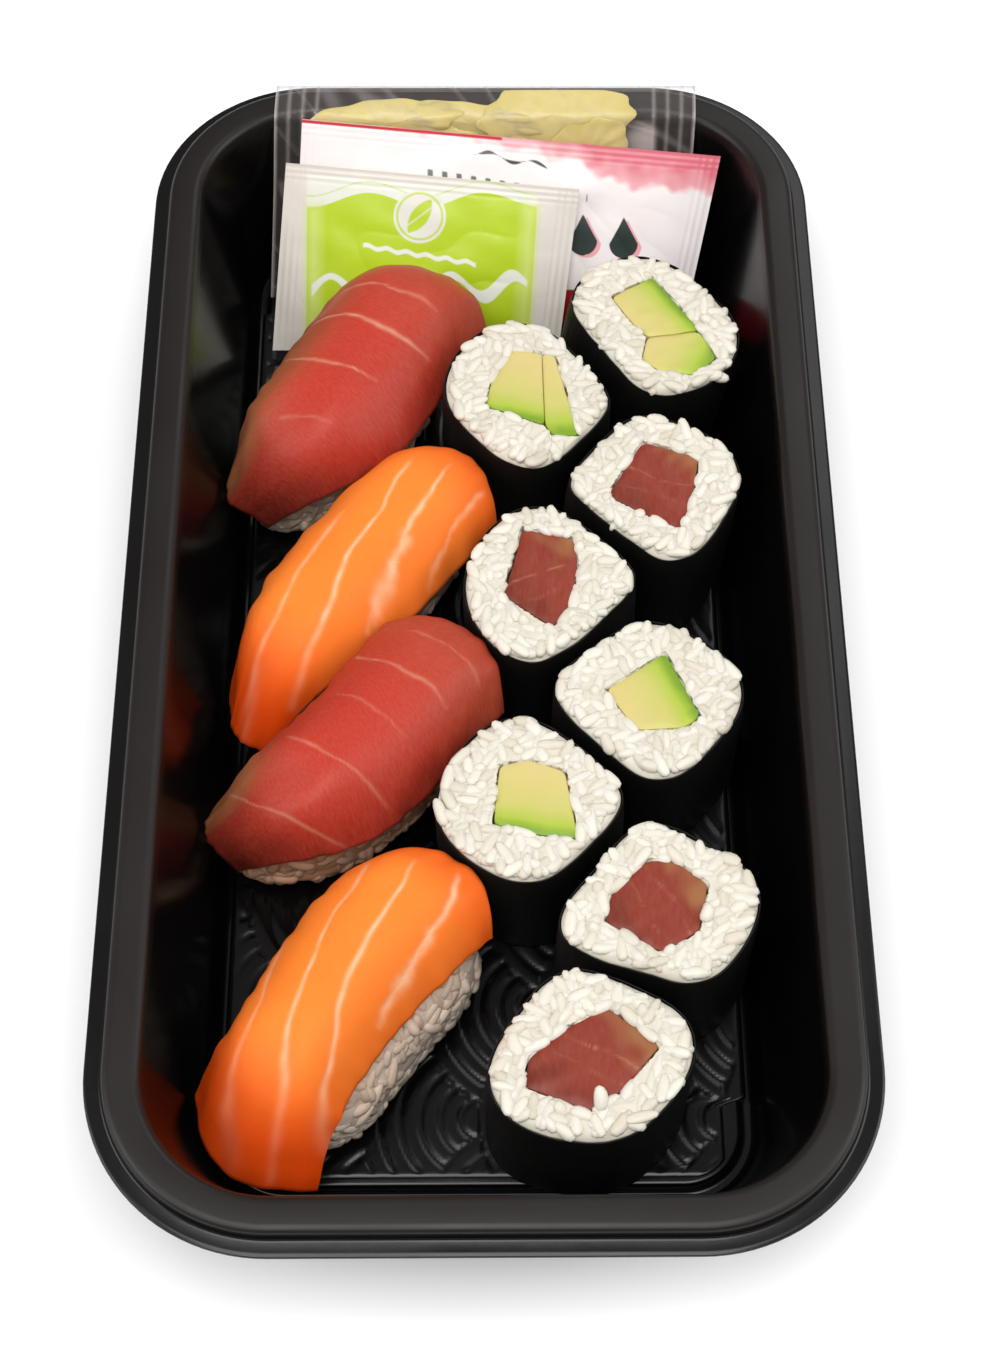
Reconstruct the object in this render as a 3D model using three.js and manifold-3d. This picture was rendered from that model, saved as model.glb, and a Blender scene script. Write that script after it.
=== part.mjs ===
// Takeaway sushi tray: a black thermoformed tray that holds four nigiri, eight cut rolls
// (maki) and three sachets leaning on its back wall.
//
// Millimetres, +Z up. The origin lies on the plane the tray stands on, under its middle.
// +X is to the right, and +Y runs along the tray to the end where the sachets lean.
import * as THREE from 'three';
import { mergeVertices } from 'three/addons/utils/BufferGeometryUtils.js';
import Module from 'manifold-3d';

const wasm = await Module();
wasm.setup();

// ---------------------------------------------------------------- driving dimensions

const GAP = 0.3;                    // air between pieces that touch

const TRAY = {
  width: 120,
  length: 226,
  height: 32,
  cornerRadius: 28.6,
  sheet: 0.8,                       // wall thickness of the formed sheet
  flangeWidth: 2.6,                 // low outer flange
  flangeDrop: 2.5,                  // from the rim's top down to the flange
  rimInner: 8,                      // from the outer edge to the inner edge of the rim
  wallDraft: 15,                    // degrees from vertical
  gutterFloor: 0.8,                 // top of the groove round the floor
  gutterWidth: 1.6,
  panelTop: 3,                      // top of the raised floor panel
  cornerSteps: 6,
};

const ROLL = {
  face: 28.7,                       // height of the cut fillings above the table
  noriBelow: 0.2,                   // from the fillings down to the nori's edge
  riceBelow: 0.4,                   // from the fillings down to the rice under the grains
  skin: 0.4,                        // nori
  skinGap: 0.2,                     // between nori and rice
  steps: 24,                        // sides of an outline
  flatness: 14,                     // how sharply an outline turns into a contact flat
  grains: 10,                       // on each cut face
  grainsFrom: 0.6,                  // where they lie, as shares of the radius
  grainsTo: 0.89,
  grainTurn: 0.8,                   // most that one turns from lying along the edge
  grainTip: 0.15,
};

// Each roll: the middle of its face, mean radius, and how far its outline departs from a
// circle in two, three and four lobes (share of the radius, direction of a lobe in degrees).
// The lean is how far the face lies from straight above the foot.
const ROLLS = [
  { x: 31.2, y: 57.4, radius: 14.4, lobes: [[0.136, -53], [0.022, 10], [0.022, -8]], lean: [3.1, -0.5] },
  { x: 8.1, y: 41.9, radius: 14.5, lobes: [[0.084, -58], [0.011, 14], [0.033, 5]], lean: [0, -0.5] },
  { x: 29.7, y: 22.5, radius: 14.4, lobes: [[0.013, -77], [0.027, 31], [0.041, 13]], lean: [1.4, 0] },
  { x: 10.7, y: 3.1, radius: 14.3, lobes: [[0.079, 62], [0.053, 14], [0.033, 7]], lean: [-0.8, 0] },
  { x: 27.2, y: -19.4, radius: 14.3, lobes: [[0.021, -14], [0.032, 32], [0.045, 4]], lean: [0, 0] },
  { x: 7, y: -38.2, radius: 14.1, lobes: [[0.015, 14], [0.03, -1], [0.039, 8]], lean: [-0.8, 0] },
  { x: 27.9, y: -56.9, radius: 13.75, lobes: [[0.073, 6], [0.061, -34], [0.073, 17]], lean: [0, 0] },
  { x: 16.2, y: -81.7, radius: 14.2, lobes: [[0.077, 27], [0.027, -22], [0.04, 17]], lean: [0, 0] },
];

// The fillings of each roll as outlines about its middle, listed anticlockwise or clockwise.
const FILLINGS = [
  {
    avocado_a: [[-7.5, 5.5], [-0.2, 10], [7.8, -1.9], [-1.5, -3.4], [-4.9, 1.1]],
    avocado_b: [[-1.5, -3.8], [7.8, -2.4], [10.4, -8.2], [6.6, -11.8], [0.5, -11], [-2.5, -8.5]],
  },
  {
    avocado_a: [[-2.3, 9.1], [2.3, 8.3], [2.6, -7.1], [-7.2, -3.1], [-6.4, 1.6]],
    avocado_b: [[2.9, 8.3], [4.8, 7.8], [8.6, -9.4], [4.2, -9.4], [3.1, -6.8]],
  },
  { tuna: [[-1.7, 8.4], [7.8, 5.4], [6.7, -1.1], [4.1, -9.5], [-1.4, -6.7], [-8, -2.7]] },
  { tuna: [[-3.8, 9.9], [4.9, 7.6], [5.2, 2], [3.9, -5.2], [0.9, -9.5], [-7.2, -3.4], [-5.2, 3.4]] },
  { avocado: [[-6.9, 0.7], [2.9, 7.6], [8, -4.3], [5.3, -6.2], [-2.3, -6.6]] },
  { avocado: [[-4.3, 5.5], [0.5, 6.5], [6, 4.4], [7.8, -7.4], [1.1, -6.6], [-5.3, -4.8]] },
  { tuna: [[-2.4, 7.2], [1.9, 7.4], [7.1, 3.2], [5.3, -4.6], [-0.5, -8.1], [-9, -3], [-8, 1.3]] },
  { tuna: [[2.4, 7.5], [10.2, 1.3], [4.1, -5.9], [-0.4, -8.9], [-10.1, -5.1], [-9.5, -0.8], [-5, 3.3]] },
];

// A nigiri's slice of fish has four corners in plan: the low end's left and right corners,
// then the high end's right and left. Each side bows outward by so many millimetres, and the
// long sides' bows lean towards the low end by their skew.
const NIGIRI = [
  {
    fish: 'tuna',
    lowLeft: [-46.1, 34.5], lowRight: [-40.8, 25], highRight: [3.2, 63.5], highLeft: [-24, 73],
    bow: { low: 2, right: 9.8, high: 5, left: 0.2 }, skew: { right: 0.75, left: 0 },
    droop: { high: 8, left: 8 }, riceInset: { low: 5, high: 11, left: 5, right: 5 },
  },
  {
    fish: 'salmon',
    lowLeft: [-43.5, -13], lowRight: [-37.5, -23], highRight: [4.4, 20.6], highLeft: [-17, 33],
    bow: { low: 1.5, right: 2.6, high: 5.4, left: 3.6 }, skew: { right: 0, left: 0.4 },
    droop: { high: 7, left: 8.5 }, riceInset: { low: 5.5, high: 5, left: 4, right: 5.5 },
  },
  {
    fish: 'tuna',
    lowLeft: [-46.2, -32], lowRight: [-43.2, -42.6], highRight: [5.4, -17.7], highLeft: [-14.5, -1.6],
    bow: { low: 1.2, right: 10.3, high: 4.2, left: -3.4 }, skew: { right: 0.6, left: 1 },
    droop: { high: 5, left: 5.5 }, riceInset: { low: 4, high: 4, left: 4, right: 5 },
  },
  {
    fish: 'salmon',
    lowLeft: [-46.8, -81.8], lowRight: [-25, -98.8], highRight: [3.4, -58.8], highLeft: [-16, -44.6],
    bow: { low: 6, right: -4.3, high: 4.2, left: 1.1 }, skew: { right: 0.15, left: -4 },
    droop: { high: 5.5, left: 8.5 }, riceInset: { low: 11, high: 4, left: 4, right: -1.5 },
  },
];

const FISH = {
  crest: 31.5,                      // highest point of a slice above the table
  dropLow: 18,                      // the slice droops from its crest to its low end
  dropRight: 10.5,                  // and to its right side
  powerLow: 3,                      // how late each droop sets in
  powerHigh: 6,
  powerSide: 2.6,
  thick: 4.4,
  thickEdge: 1.8,
  cornerPull: 0.14,                 // rounding of the corners in plan
  stepsLong: 12,
  stepsWide: 7,
};

// The block of rice under a slice. Levels are [inset from its outline, height above its foot].
const RICE_BLOCK = {
  halfLength: 29,
  halfWidth: 14,
  roundness: 0.55,                  // 1 gives an ellipse, 0 a rectangle
  levels: [[2.2, 0], [0, 4], [0.4, 14], [3.5, 24]],
  sides: 18,
  grainSpots: 48,                   // places round the sides, of which each fifth is used
  grainEvery: 5,
  grainInset: 0.4,
  grainLow: 3,                      // heights of the lowest and highest grain above the foot
  grainHigh: 10,
  grainTip: 0.7,
  cutReach: 1.2,                   // how far past the slice its underside is carried on
};

const GOLDEN_ANGLE = 2.39996;       // spreads things evenly round a middle

const GRAIN = { length: 6.4, width: 2.7, height: 2.3, around: 5, along: 4 };

// Sachets lean on the back wall. A profile runs from the foot up the slope (Y, Z); the four
// widths are X at the foot's and head's ends; rightReach is how far up it the right edge goes.
const SACHETS = {
  ginger: {
    profile: [[82.5, 4.4], [95.4, 19.4], [100.9, 30], [102.5, 32.9], [108.2, 34.4]],
    foot: [-40.5, 39.5], head: [-38.2, 40.3], rightReach: 1, swell: 2, seal: 0.4,
  },
  soy: {
    profile: [[75.2, 5.6], [87.5, 19.7], [100.6, 34]],
    foot: [-36, 38.8], head: [-33.2, 44.9], rightReach: 0.82, swell: 1.5, seal: 0.35,
  },
  wasabi: {
    profile: [[69.2, 5], [80.8, 18.4], [92.4, 31.2]],
    foot: [-39.6, 14.7], head: [-36.1, 18.3], rightReach: 0.86, swell: 1.7, seal: 0.35,
  },
};
const SACHET_STEPS = { across: 10, up: 6 };
const FILL = { sides: 4, foot: 8, head: 2.5 };    // how sharply the filling ends at each seal

// ---------------------------------------------------------------- closed surfaces

// A closed body from points and triangles, turned so that its faces point out.
function closedBody(points, triangles) {
  const corner = (triangle, k) => new THREE.Vector3(...points[triangle[k]]);
  const volume = triangles.reduce((sum, triangle) => {
    const [a, b, c] = [0, 1, 2].map((k) => corner(triangle, k));
    return sum + a.dot(b.cross(c)) / 6;
  }, 0);
  const turned = volume < 0 ? triangles.map(([a, b, c]) => [a, c, b]) : triangles;
  const geometry = new THREE.BufferGeometry();
  geometry.setAttribute('position', new THREE.Float32BufferAttribute(points.flat(), 3));
  geometry.setIndex(turned.flat());
  return geometry;
}

// A body skinned over rings of equal count, with a flat fan closing the first and the last.
function skinnedRings(rings) {
  const count = rings[0].length;
  const points = rings.flat();
  const triangles = [];
  for (let ring = 0; ring + 1 < rings.length; ring += 1) {
    for (let k = 0; k < count; k += 1) {
      const a = ring * count + k;
      const b = ring * count + (k + 1) % count;
      triangles.push([a, b, b + count], [a, b + count, a + count]);
    }
  }
  const fan = (ring, flip) => {
    const middle = [0, 1, 2].map((axis) => rings[ring].reduce((sum, p) => sum + p[axis], 0) / count);
    points.push(middle);
    for (let k = 0; k < count; k += 1) {
      const edge = [ring * count + k, ring * count + (k + 1) % count];
      triangles.push(flip ? [points.length - 1, edge[1], edge[0]] : [points.length - 1, ...edge]);
    }
  };
  fan(0, true);
  fan(rings.length - 1, false);
  return closedBody(points, triangles);
}

// A slab between two surfaces over the square from -1 to 1 in u and v.
function slab(upper, lower, stepsU, stepsV) {
  const points = [];
  const triangles = [];
  const index = (side, i, j) => side * (stepsU + 1) * (stepsV + 1) + i * (stepsV + 1) + j;
  for (const surface of [upper, lower]) {
    for (let i = 0; i <= stepsU; i += 1) {
      for (let j = 0; j <= stepsV; j += 1) {
        points.push(surface((2 * i) / stepsU - 1, (2 * j) / stepsV - 1));
      }
    }
  }
  const quad = (a, b, c, d) => triangles.push([a, b, c], [a, c, d]);
  for (let i = 0; i < stepsU; i += 1) {
    for (let j = 0; j < stepsV; j += 1) {
      quad(index(0, i, j), index(0, i + 1, j), index(0, i + 1, j + 1), index(0, i, j + 1));
      quad(index(1, i, j), index(1, i, j + 1), index(1, i + 1, j + 1), index(1, i + 1, j));
    }
    quad(index(0, i, 0), index(1, i, 0), index(1, i + 1, 0), index(0, i + 1, 0));
    quad(index(0, i, stepsV), index(0, i + 1, stepsV), index(1, i + 1, stepsV), index(1, i, stepsV));
  }
  for (let j = 0; j < stepsV; j += 1) {
    quad(index(0, 0, j), index(0, 0, j + 1), index(1, 0, j + 1), index(1, 0, j));
    quad(index(0, stepsU, j), index(1, stepsU, j), index(1, stepsU, j + 1), index(0, stepsU, j + 1));
  }
  return closedBody(points, triangles);
}

// A straight prism over an outline, with a hole if one is given, from z = low to z = high.
function prism(outline, hole, low, high) {
  const toVectors = (points) => points.map(([x, y]) => new THREE.Vector2(x, y));
  const shape = new THREE.Shape(toVectors(outline));
  if (hole) shape.holes.push(new THREE.Path(toVectors(hole)));
  const geometry = new THREE.ExtrudeGeometry(shape, { depth: high - low, bevelEnabled: false });
  return geometry.translate(0, 0, low);
}

function toManifold(geometry) {
  const bare = geometry.clone();
  bare.deleteAttribute('normal');
  bare.deleteAttribute('uv');
  const merged = mergeVertices(bare, 1e-4);
  return new wasm.Manifold(new wasm.Mesh({
    numProp: 3,
    vertProperties: new Float32Array(merged.attributes.position.array),
    triVerts: new Uint32Array(merged.index.array),
  }));
}

// The largest of a solid's separate bodies, without the scraps that a cut leaves loose.
function largestBody(solid) {
  return solid.decompose().sort((a, b) => b.volume() - a.volume())[0];
}

function fromManifold(solid) {
  const mesh = largestBody(solid).getMesh();
  const geometry = new THREE.BufferGeometry();
  geometry.setAttribute('position', new THREE.BufferAttribute(mesh.vertProperties, 3));
  geometry.setIndex(new THREE.BufferAttribute(mesh.triVerts, 1));
  return geometry;
}

// Random numbers from 0 to 1 that are the same each time.
function seeded(seed) {
  let state = seed;
  return () => {
    state = (state * 1664525 + 1013904223) % 4294967296;
    return state / 4294967296;
  };
}

// ---------------------------------------------------------------- tray

// A rounded rectangle that lies `inset` inside the tray's outer edge, at height z.
function trayRing(inset, z) {
  const radius = TRAY.cornerRadius - inset;
  const reachX = TRAY.width / 2 - TRAY.cornerRadius;
  const reachY = TRAY.length / 2 - TRAY.cornerRadius;
  const points = [];
  for (const [cornerX, cornerY, start] of [[1, 1, 0], [-1, 1, 90], [-1, -1, 180], [1, -1, 270]]) {
    for (let k = 0; k <= TRAY.cornerSteps; k += 1) {
      const angle = THREE.MathUtils.degToRad(start + (90 * k) / TRAY.cornerSteps);
      points.push([
        cornerX * reachX + radius * Math.cos(angle),
        cornerY * reachY + radius * Math.sin(angle),
        z,
      ]);
    }
  }
  return points;
}

function trayBody() {
  const { height, sheet, flangeWidth, rimInner, gutterFloor, gutterWidth, panelTop } = TRAY;
  const lean = Math.tan(THREE.MathUtils.degToRad(TRAY.wallDraft));
  const flangeTop = height - TRAY.flangeDrop;
  const edge = 0.6;                                     // size of the small rounded edges
  const wallTop = { inset: rimInner + edge, z: height - edge };
  const wallFoot = { inset: wallTop.inset + (wallTop.z - gutterFloor - 1) * lean, z: gutterFloor + 1 };
  const gutterOuter = wallFoot.inset + edge;
  const gutterInner = gutterOuter + gutterWidth;
  const panelEdge = gutterInner + edge;
  const upperSide = [
    [panelEdge, panelTop],
    [gutterInner, gutterFloor],
    [gutterOuter, gutterFloor],
    [wallFoot.inset, wallFoot.z],
    [wallTop.inset, wallTop.z],
    [rimInner, height],
    [flangeWidth + 2 * edge, height],
    [flangeWidth + edge, height - edge / 2],
    [flangeWidth, flangeTop],
    [0, flangeTop],
  ];
  const underside = [
    [0, flangeTop - sheet],
    [flangeWidth + sheet, flangeTop - sheet],
    [flangeWidth + sheet + edge, height - sheet],
    [rimInner - edge, height - sheet],
    [wallTop.inset - sheet, wallTop.z - sheet / 2],
    [wallFoot.inset - sheet, wallFoot.z],
    [gutterOuter - edge, 0],
    [gutterInner + sheet, 0],
    [panelEdge + sheet, panelTop - sheet],
  ];
  return skinnedRings([...upperSide, ...underside].map(([inset, z]) => trayRing(inset, z)));
}

// ---------------------------------------------------------------- rice grains

// One grain lying at a point, its long axis turned about Z by `turn` and tipped by `tip`.
function grainAt(x, y, z, turn, tip) {
  const { length, width, height, around, along } = GRAIN;
  const grain = new THREE.SphereGeometry(0.5, around, along);
  grain.rotateZ(Math.PI / 2);
  grain.scale(length, width, height);
  grain.rotateY(tip);
  grain.rotateZ(turn);
  return grain.translate(x, y, z);
}

// ---------------------------------------------------------------- rolls

function lobedRadius(roll, angle) {
  const swell = roll.lobes.reduce((sum, [share, direction], k) => {
    const lobe = (k + 2) * (angle - THREE.MathUtils.degToRad(direction));
    return sum + share * Math.cos(lobe);
  }, 1);
  return roll.radius * swell;
}

// How far a roll reaches in a direction.
function reach(roll, direction) {
  let most = 0;
  for (let degrees = -90; degrees <= 90; degrees += 3) {
    const off = THREE.MathUtils.degToRad(degrees);
    most = Math.max(most, lobedRadius(roll, direction + off) * Math.cos(off));
  }
  return most;
}

// Rolls stand in a zigzag and press on the one before and the one after, so each is flat
// there: the flat lies between the two, with room for both skins.
function contactFlats(index) {
  const roll = ROLLS[index];
  return [index - 1, index + 1].filter((k) => ROLLS[k]).map((k) => {
    const other = ROLLS[k];
    const direction = Math.atan2(other.y - roll.y, other.x - roll.x);
    const distance = Math.hypot(other.y - roll.y, other.x - roll.x);
    const share = (reach(roll, direction) - reach(other, direction + Math.PI)) / 2;
    const leans = Math.hypot(roll.lean[0] - other.lean[0], roll.lean[1] - other.lean[1]) / 2;
    return { direction, limit: distance / 2 + share - ROLL.skin - ROLL.skinGap - GAP / 2 - leans };
  });
}

// The radius of the rice at an angle: the lobed outline, cut softly by the contact flats.
function riceRadius(index, angle) {
  const power = -ROLL.flatness;
  const free = lobedRadius(ROLLS[index], angle);
  return contactFlats(index).reduce((radius, { direction, limit }) => {
    const facing = Math.cos(angle - direction);
    if (facing <= 0) return radius;
    return (radius ** power + (limit / facing) ** power) ** (1 / power);
  }, free);
}

function rollOutline(index, grow) {
  return Array.from({ length: ROLL.steps }, (_, k) => {
    const angle = (2 * Math.PI * k) / ROLL.steps;
    const radius = riceRadius(index, angle) + grow;
    return [radius * Math.cos(angle), radius * Math.sin(angle)];
  });
}

// The outermost of some points, anticlockwise (gift wrapping by a monotone chain).
function hull(points) {
  const sorted = [...points].sort((a, b) => a[0] - b[0] || a[1] - b[1]);
  const turn = (o, a, b) => (a[0] - o[0]) * (b[1] - o[1]) - (a[1] - o[1]) * (b[0] - o[0]);
  const half = (list) => {
    const chain = [];
    for (const point of list) {
      while (chain.length > 1 && turn(chain.at(-2), chain.at(-1), point) <= 0) chain.pop();
      chain.push(point);
    }
    return chain.slice(0, -1);
  };
  return [...half(sorted), ...half(sorted.reverse())];
}

// An anticlockwise convex outline with every side moved out by `distance`.
function grownOutline(outline, distance) {
  const count = outline.length;
  return outline.map((point, k) => {
    const before = outline[(k + count - 1) % count];
    const after = outline[(k + 1) % count];
    const normal = (a, b) => {
      const length = Math.hypot(b[0] - a[0], b[1] - a[1]);
      return [(b[1] - a[1]) / length, (a[0] - b[0]) / length];
    };
    const [n1, n2] = [normal(before, point), normal(point, after)];
    const stretch = distance / (1 + n1[0] * n2[0] + n1[1] * n2[1]);
    return [point[0] + (n1[0] + n2[0]) * stretch, point[1] + (n1[1] + n2[1]) * stretch];
  });
}

// True where a point is inside a convex anticlockwise outline grown by `margin`.
function insideConvex(outline, margin, x, y) {
  return outline.every((a, k) => {
    const b = outline[(k + 1) % outline.length];
    const length = Math.hypot(b[0] - a[0], b[1] - a[1]);
    return ((b[0] - a[0]) * (y - a[1]) - (b[1] - a[1]) * (x - a[0])) / length > -margin;
  });
}

// The rice of a roll: a ring round the filling, with grains fused on its cut face. A grain
// that would cross the filling or the skin is skipped.
function rollRice(index, hole) {
  const foot = TRAY.panelTop + GAP;
  const top = ROLL.face - ROLL.riceBelow;
  const random = seeded(11 + index);
  const either = (most) => (2 * random() - 1) * most;
  const half = GRAIN.length / 2;
  let rice = toManifold(prism(rollOutline(index, 0), hole, foot, top));
  for (let k = 0, placed = 0; k < 4 * ROLL.grains && placed < ROLL.grains; k += 1) {
    const angle = k * GOLDEN_ANGLE;
    const share = ROLL.grainsFrom + (ROLL.grainsTo - ROLL.grainsFrom) * random();
    const radius = riceRadius(index, angle) * share;
    const turn = angle + Math.PI / 2 + either(ROLL.grainTurn);
    const [x, y] = [radius * Math.cos(angle), radius * Math.sin(angle)];
    const ends = [-half, 0, half].map((s) => [x + s * Math.cos(turn), y + s * Math.sin(turn)]);
    const clear = ends.every(([px, py]) => {
      const limit = riceRadius(index, Math.atan2(py, px)) - GRAIN.width / 3;
      return Math.hypot(px, py) < limit && !insideConvex(hole, GRAIN.width / 2, px, py);
    });
    if (clear) {
      rice = rice.add(toManifold(grainAt(x, y, top, turn, either(ROLL.grainTip))));
      placed += 1;
    }
  }
  return fromManifold(rice);
}

function placeRoll(geometry, roll) {
  const rise = ROLL.face - TRAY.panelTop;
  const shear = new THREE.Matrix4().set(
    1, 0, roll.lean[0] / rise, -roll.lean[0],
    0, 1, roll.lean[1] / rise, -roll.lean[1],
    0, 0, 1, 0,
    0, 0, 0, 1,
  );
  return geometry.applyMatrix4(shear);
}

function rollPieces(index) {
  const foot = TRAY.panelTop + GAP;
  const fillings = Object.entries(FILLINGS[index]);
  const hole = grownOutline(hull(fillings.flatMap(([, outline]) => outline)), GAP);
  const nori = prism(
    rollOutline(index, ROLL.skinGap + ROLL.skin),
    rollOutline(index, ROLL.skinGap),
    foot,
    ROLL.face - ROLL.noriBelow,
  );
  return [
    ['nori', nori],
    ['rice', rollRice(index, hole)],
    ...fillings.map(([kind, outline]) => [kind, prism(outline, null, foot, ROLL.face)]),
  ].map(([kind, geometry]) => [kind, placeRoll(geometry, ROLLS[index])]);
}

// ---------------------------------------------------------------- nigiri

const between = (a, b, t) => a.map((value, axis) => value + (b[axis] - value) * t);

// Unit vector to the right-hand side of the way from a to b.
function rightOf(a, b) {
  const length = Math.hypot(b[0] - a[0], b[1] - a[1]);
  return [(b[1] - a[1]) / length, (a[0] - b[0]) / length];
}

// Plan position on a slice: u runs from the low end (-1) to the high end (1), v from the
// left side (-1) to the right side (1). Corners are blended and each side is bowed.
function planPoint(piece, u, v) {
  const { lowLeft, lowRight, highRight, highLeft, bow, skew } = piece;
  const s = (u + 1) / 2;
  const t = (v + 1) / 2;
  const base = between(between(lowLeft, lowRight, t), between(highLeft, highRight, t), s);
  const along = 4 * s * (1 - s);
  const across = 4 * t * (1 - t);
  const pushes = [
    [rightOf(lowRight, highRight), bow.right * along * (1 - skew.right * u) * t],
    [rightOf(highLeft, lowLeft), bow.left * along * (1 - skew.left * u) * (1 - t)],
    [rightOf(lowLeft, lowRight), bow.low * across * (1 - s)],
    [rightOf(highRight, highLeft), bow.high * across * s],
  ];
  return pushes.reduce(([x, y], [way, push]) => [x + way[0] * push, y + way[1] * push], base);
}

// Height of a slice's upper face: a crest that droops to each end and each side.
function crestHeight({ droop }, u, v) {
  const end = u < 0 ? FISH.dropLow * (-u) ** FISH.powerLow : droop.high * u ** FISH.powerHigh;
  const side = (v < 0 ? droop.left : FISH.dropRight) * Math.abs(v) ** FISH.powerSide;
  return FISH.crest - Math.hypot(end, side);
}

// The upper face with the corners of the square pulled in, as a vector.
function upperFace(piece, u, v) {
  const pull = FISH.cornerPull / 2;
  const [pu, pv] = [u * (1 - pull * v * v), v * (1 - pull * u * u)];
  const [x, y] = planPoint(piece, pu, pv);
  return new THREE.Vector3(x, y, crestHeight(piece, u, v));
}

// The upper face moved in along its normal by `depth`.
function offsetFace(piece, u, v, depth) {
  const step = 0.02;
  const alongU = upperFace(piece, u + step, v).sub(upperFace(piece, u - step, v));
  const alongV = upperFace(piece, u, v + step).sub(upperFace(piece, u, v - step));
  const normal = alongU.cross(alongV).normalize();
  const inward = normal.z > 0 ? -depth : depth;
  return upperFace(piece, u, v).addScaledVector(normal, inward);
}

function sliceThickness(u, v) {
  const edge = Math.min(1, Math.max(u * u, v * v));
  return FISH.thick + (FISH.thickEdge - FISH.thick) * edge ** 2;
}

function fishSlice(piece) {
  return slab(
    (u, v) => upperFace(piece, u, v).toArray(),
    (u, v) => offsetFace(piece, u, v, sliceThickness(u, v)).toArray(),
    FISH.stepsLong,
    FISH.stepsWide,
  );
}

// The rice's outline at a height: the slice's outline, moved in by the piece's rice insets
// and a further `inset`, with round corners.
function riceRing(piece, inset, z, count) {
  const { low, high, left, right } = piece.riceInset;
  const { halfLength, halfWidth, roundness } = RICE_BLOCK;
  return Array.from({ length: count }, (_, k) => {
    const angle = (2 * Math.PI * k) / count;
    const round = (value) => Math.sign(value) * Math.abs(value) ** roundness;
    const [c, s] = [round(Math.cos(angle)), round(Math.sin(angle))];
    const u = c * (1 - ((c < 0 ? low : high) + inset) / halfLength);
    const v = s * (1 - ((s < 0 ? left : right) + inset) / halfWidth);
    return [...planPoint(piece, u, v), z];
  });
}

// The rice of a nigiri: a rounded block with grains fused on its sides, cut along the
// underside of its slice.
function nigiriRice(piece, seed) {
  const { levels, sides, grainSpots, grainEvery, grainLow, grainHigh } = RICE_BLOCK;
  const foot = TRAY.panelTop + GAP;
  const rings = levels.map(([inset, rise]) => riceRing(piece, inset, foot + rise, sides));
  const random = seeded(seed);
  let rice = toManifold(skinnedRings(rings));
  const spots = riceRing(piece, RICE_BLOCK.grainInset, 0, grainSpots);
  for (let spot = 0; spot < grainSpots; spot += grainEvery) {
    const [x, y] = spots[spot];
    const [nextX, nextY] = spots[(spot + 1) % grainSpots];
    const z = foot + grainLow + random() * (grainHigh - grainLow);
    const turn = Math.atan2(nextY - y, nextX - x);
    const tip = (2 * random() - 1) * RICE_BLOCK.grainTip;
    rice = rice.add(toManifold(grainAt(x, y, z, turn, tip)));
  }
  return fromManifold(rice.subtract(toManifold(sliceCutter(piece))));
}

// What a slice takes out of the rice: everything above its underside, carried on outward.
function sliceCutter(piece) {
  const out = RICE_BLOCK.cutReach;
  return slab(
    (u, v) => [...planPoint(piece, u * out, v * out), 2 * FISH.crest],
    (u, v) => {
      const depth = sliceThickness(u * out, v * out) + 2 * GAP;
      return offsetFace(piece, u * out, v * out, depth).toArray();
    },
    FISH.stepsLong - 3,
    FISH.stepsWide - 1,
  );
}

// ---------------------------------------------------------------- sachets

// A flat pouch along its profile, thin at the seals, with its contents settled to the foot.
function sachetBody({ profile, foot, head, rightReach, swell, seal }) {
  const curve = new THREE.SplineCurve(profile.map(([y, z]) => new THREE.Vector2(y, z)));
  const face = (side) => (u, v) => {
    const [s, t] = [(u + 1) / 2, (v + 1) / 2];
    const climb = Math.min(1, t * (1 + (rightReach - 1) * s));
    const at = curve.getPointAt(climb);
    const way = curve.getTangentAt(climb);
    const fill = (1 - u ** FILL.sides) * (1 - (1 - t) ** FILL.foot) * (1 - t ** FILL.head);
    const half = side * (seal + swell * fill);
    const [left, right] = between(foot, head, t);
    const x = left + (right - left) * s;
    return [x, at.x - way.y * half, at.y + way.x * half];
  };
  return slab(face(1), face(-1), SACHET_STEPS.across, SACHET_STEPS.up);
}

// ---------------------------------------------------------------- assembly

const FINISHES = {
  tray: { color: 0x2b2a2c, roughness: 0.35, metalness: 0 },
  rice: { color: 0xe9e8e2, roughness: 0.45, metalness: 0 },
  nori: { color: 0x17191a, roughness: 0.6, metalness: 0 },
  tuna: { color: 0xb4493c, roughness: 0.35, metalness: 0 },
  salmon: { color: 0xf5893a, roughness: 0.3, metalness: 0 },
  avocado: { color: 0xbccb5f, roughness: 0.45, metalness: 0 },
  ginger: { color: 0xe6d9a2, roughness: 0.2, metalness: 0 },
  soy: { color: 0xf0eef0, roughness: 0.4, metalness: 0 },
  wasabi: { color: 0x9fc423, roughness: 0.4, metalness: 0 },
};

function namedMesh(name, geometry, finish) {
  const mesh = new THREE.Mesh(geometry, new THREE.MeshStandardMaterial(FINISHES[finish]));
  mesh.name = name;
  return mesh;
}

const sushiTray = new THREE.Group();
sushiTray.add(namedMesh('tray', trayBody(), 'tray'));

ROLLS.forEach((roll, index) => {
  const standing = new THREE.Group();
  standing.position.set(roll.x, roll.y, 0);
  for (const [kind, geometry] of rollPieces(index)) {
    standing.add(namedMesh(`maki_${index + 1}_${kind}`, geometry, kind.split('_')[0]));
  }
  sushiTray.add(standing);
});

NIGIRI.forEach((piece, index) => {
  sushiTray.add(namedMesh(`nigiri_${index + 1}_rice`, nigiriRice(piece, 5 + index), 'rice'));
  sushiTray.add(namedMesh(`nigiri_${index + 1}_${piece.fish}`, fishSlice(piece), piece.fish));
});

for (const [kind, sachet] of Object.entries(SACHETS)) {
  sushiTray.add(namedMesh(`sachet_${kind}`, sachetBody(sachet), kind));
}

export default sushiTray;
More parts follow.
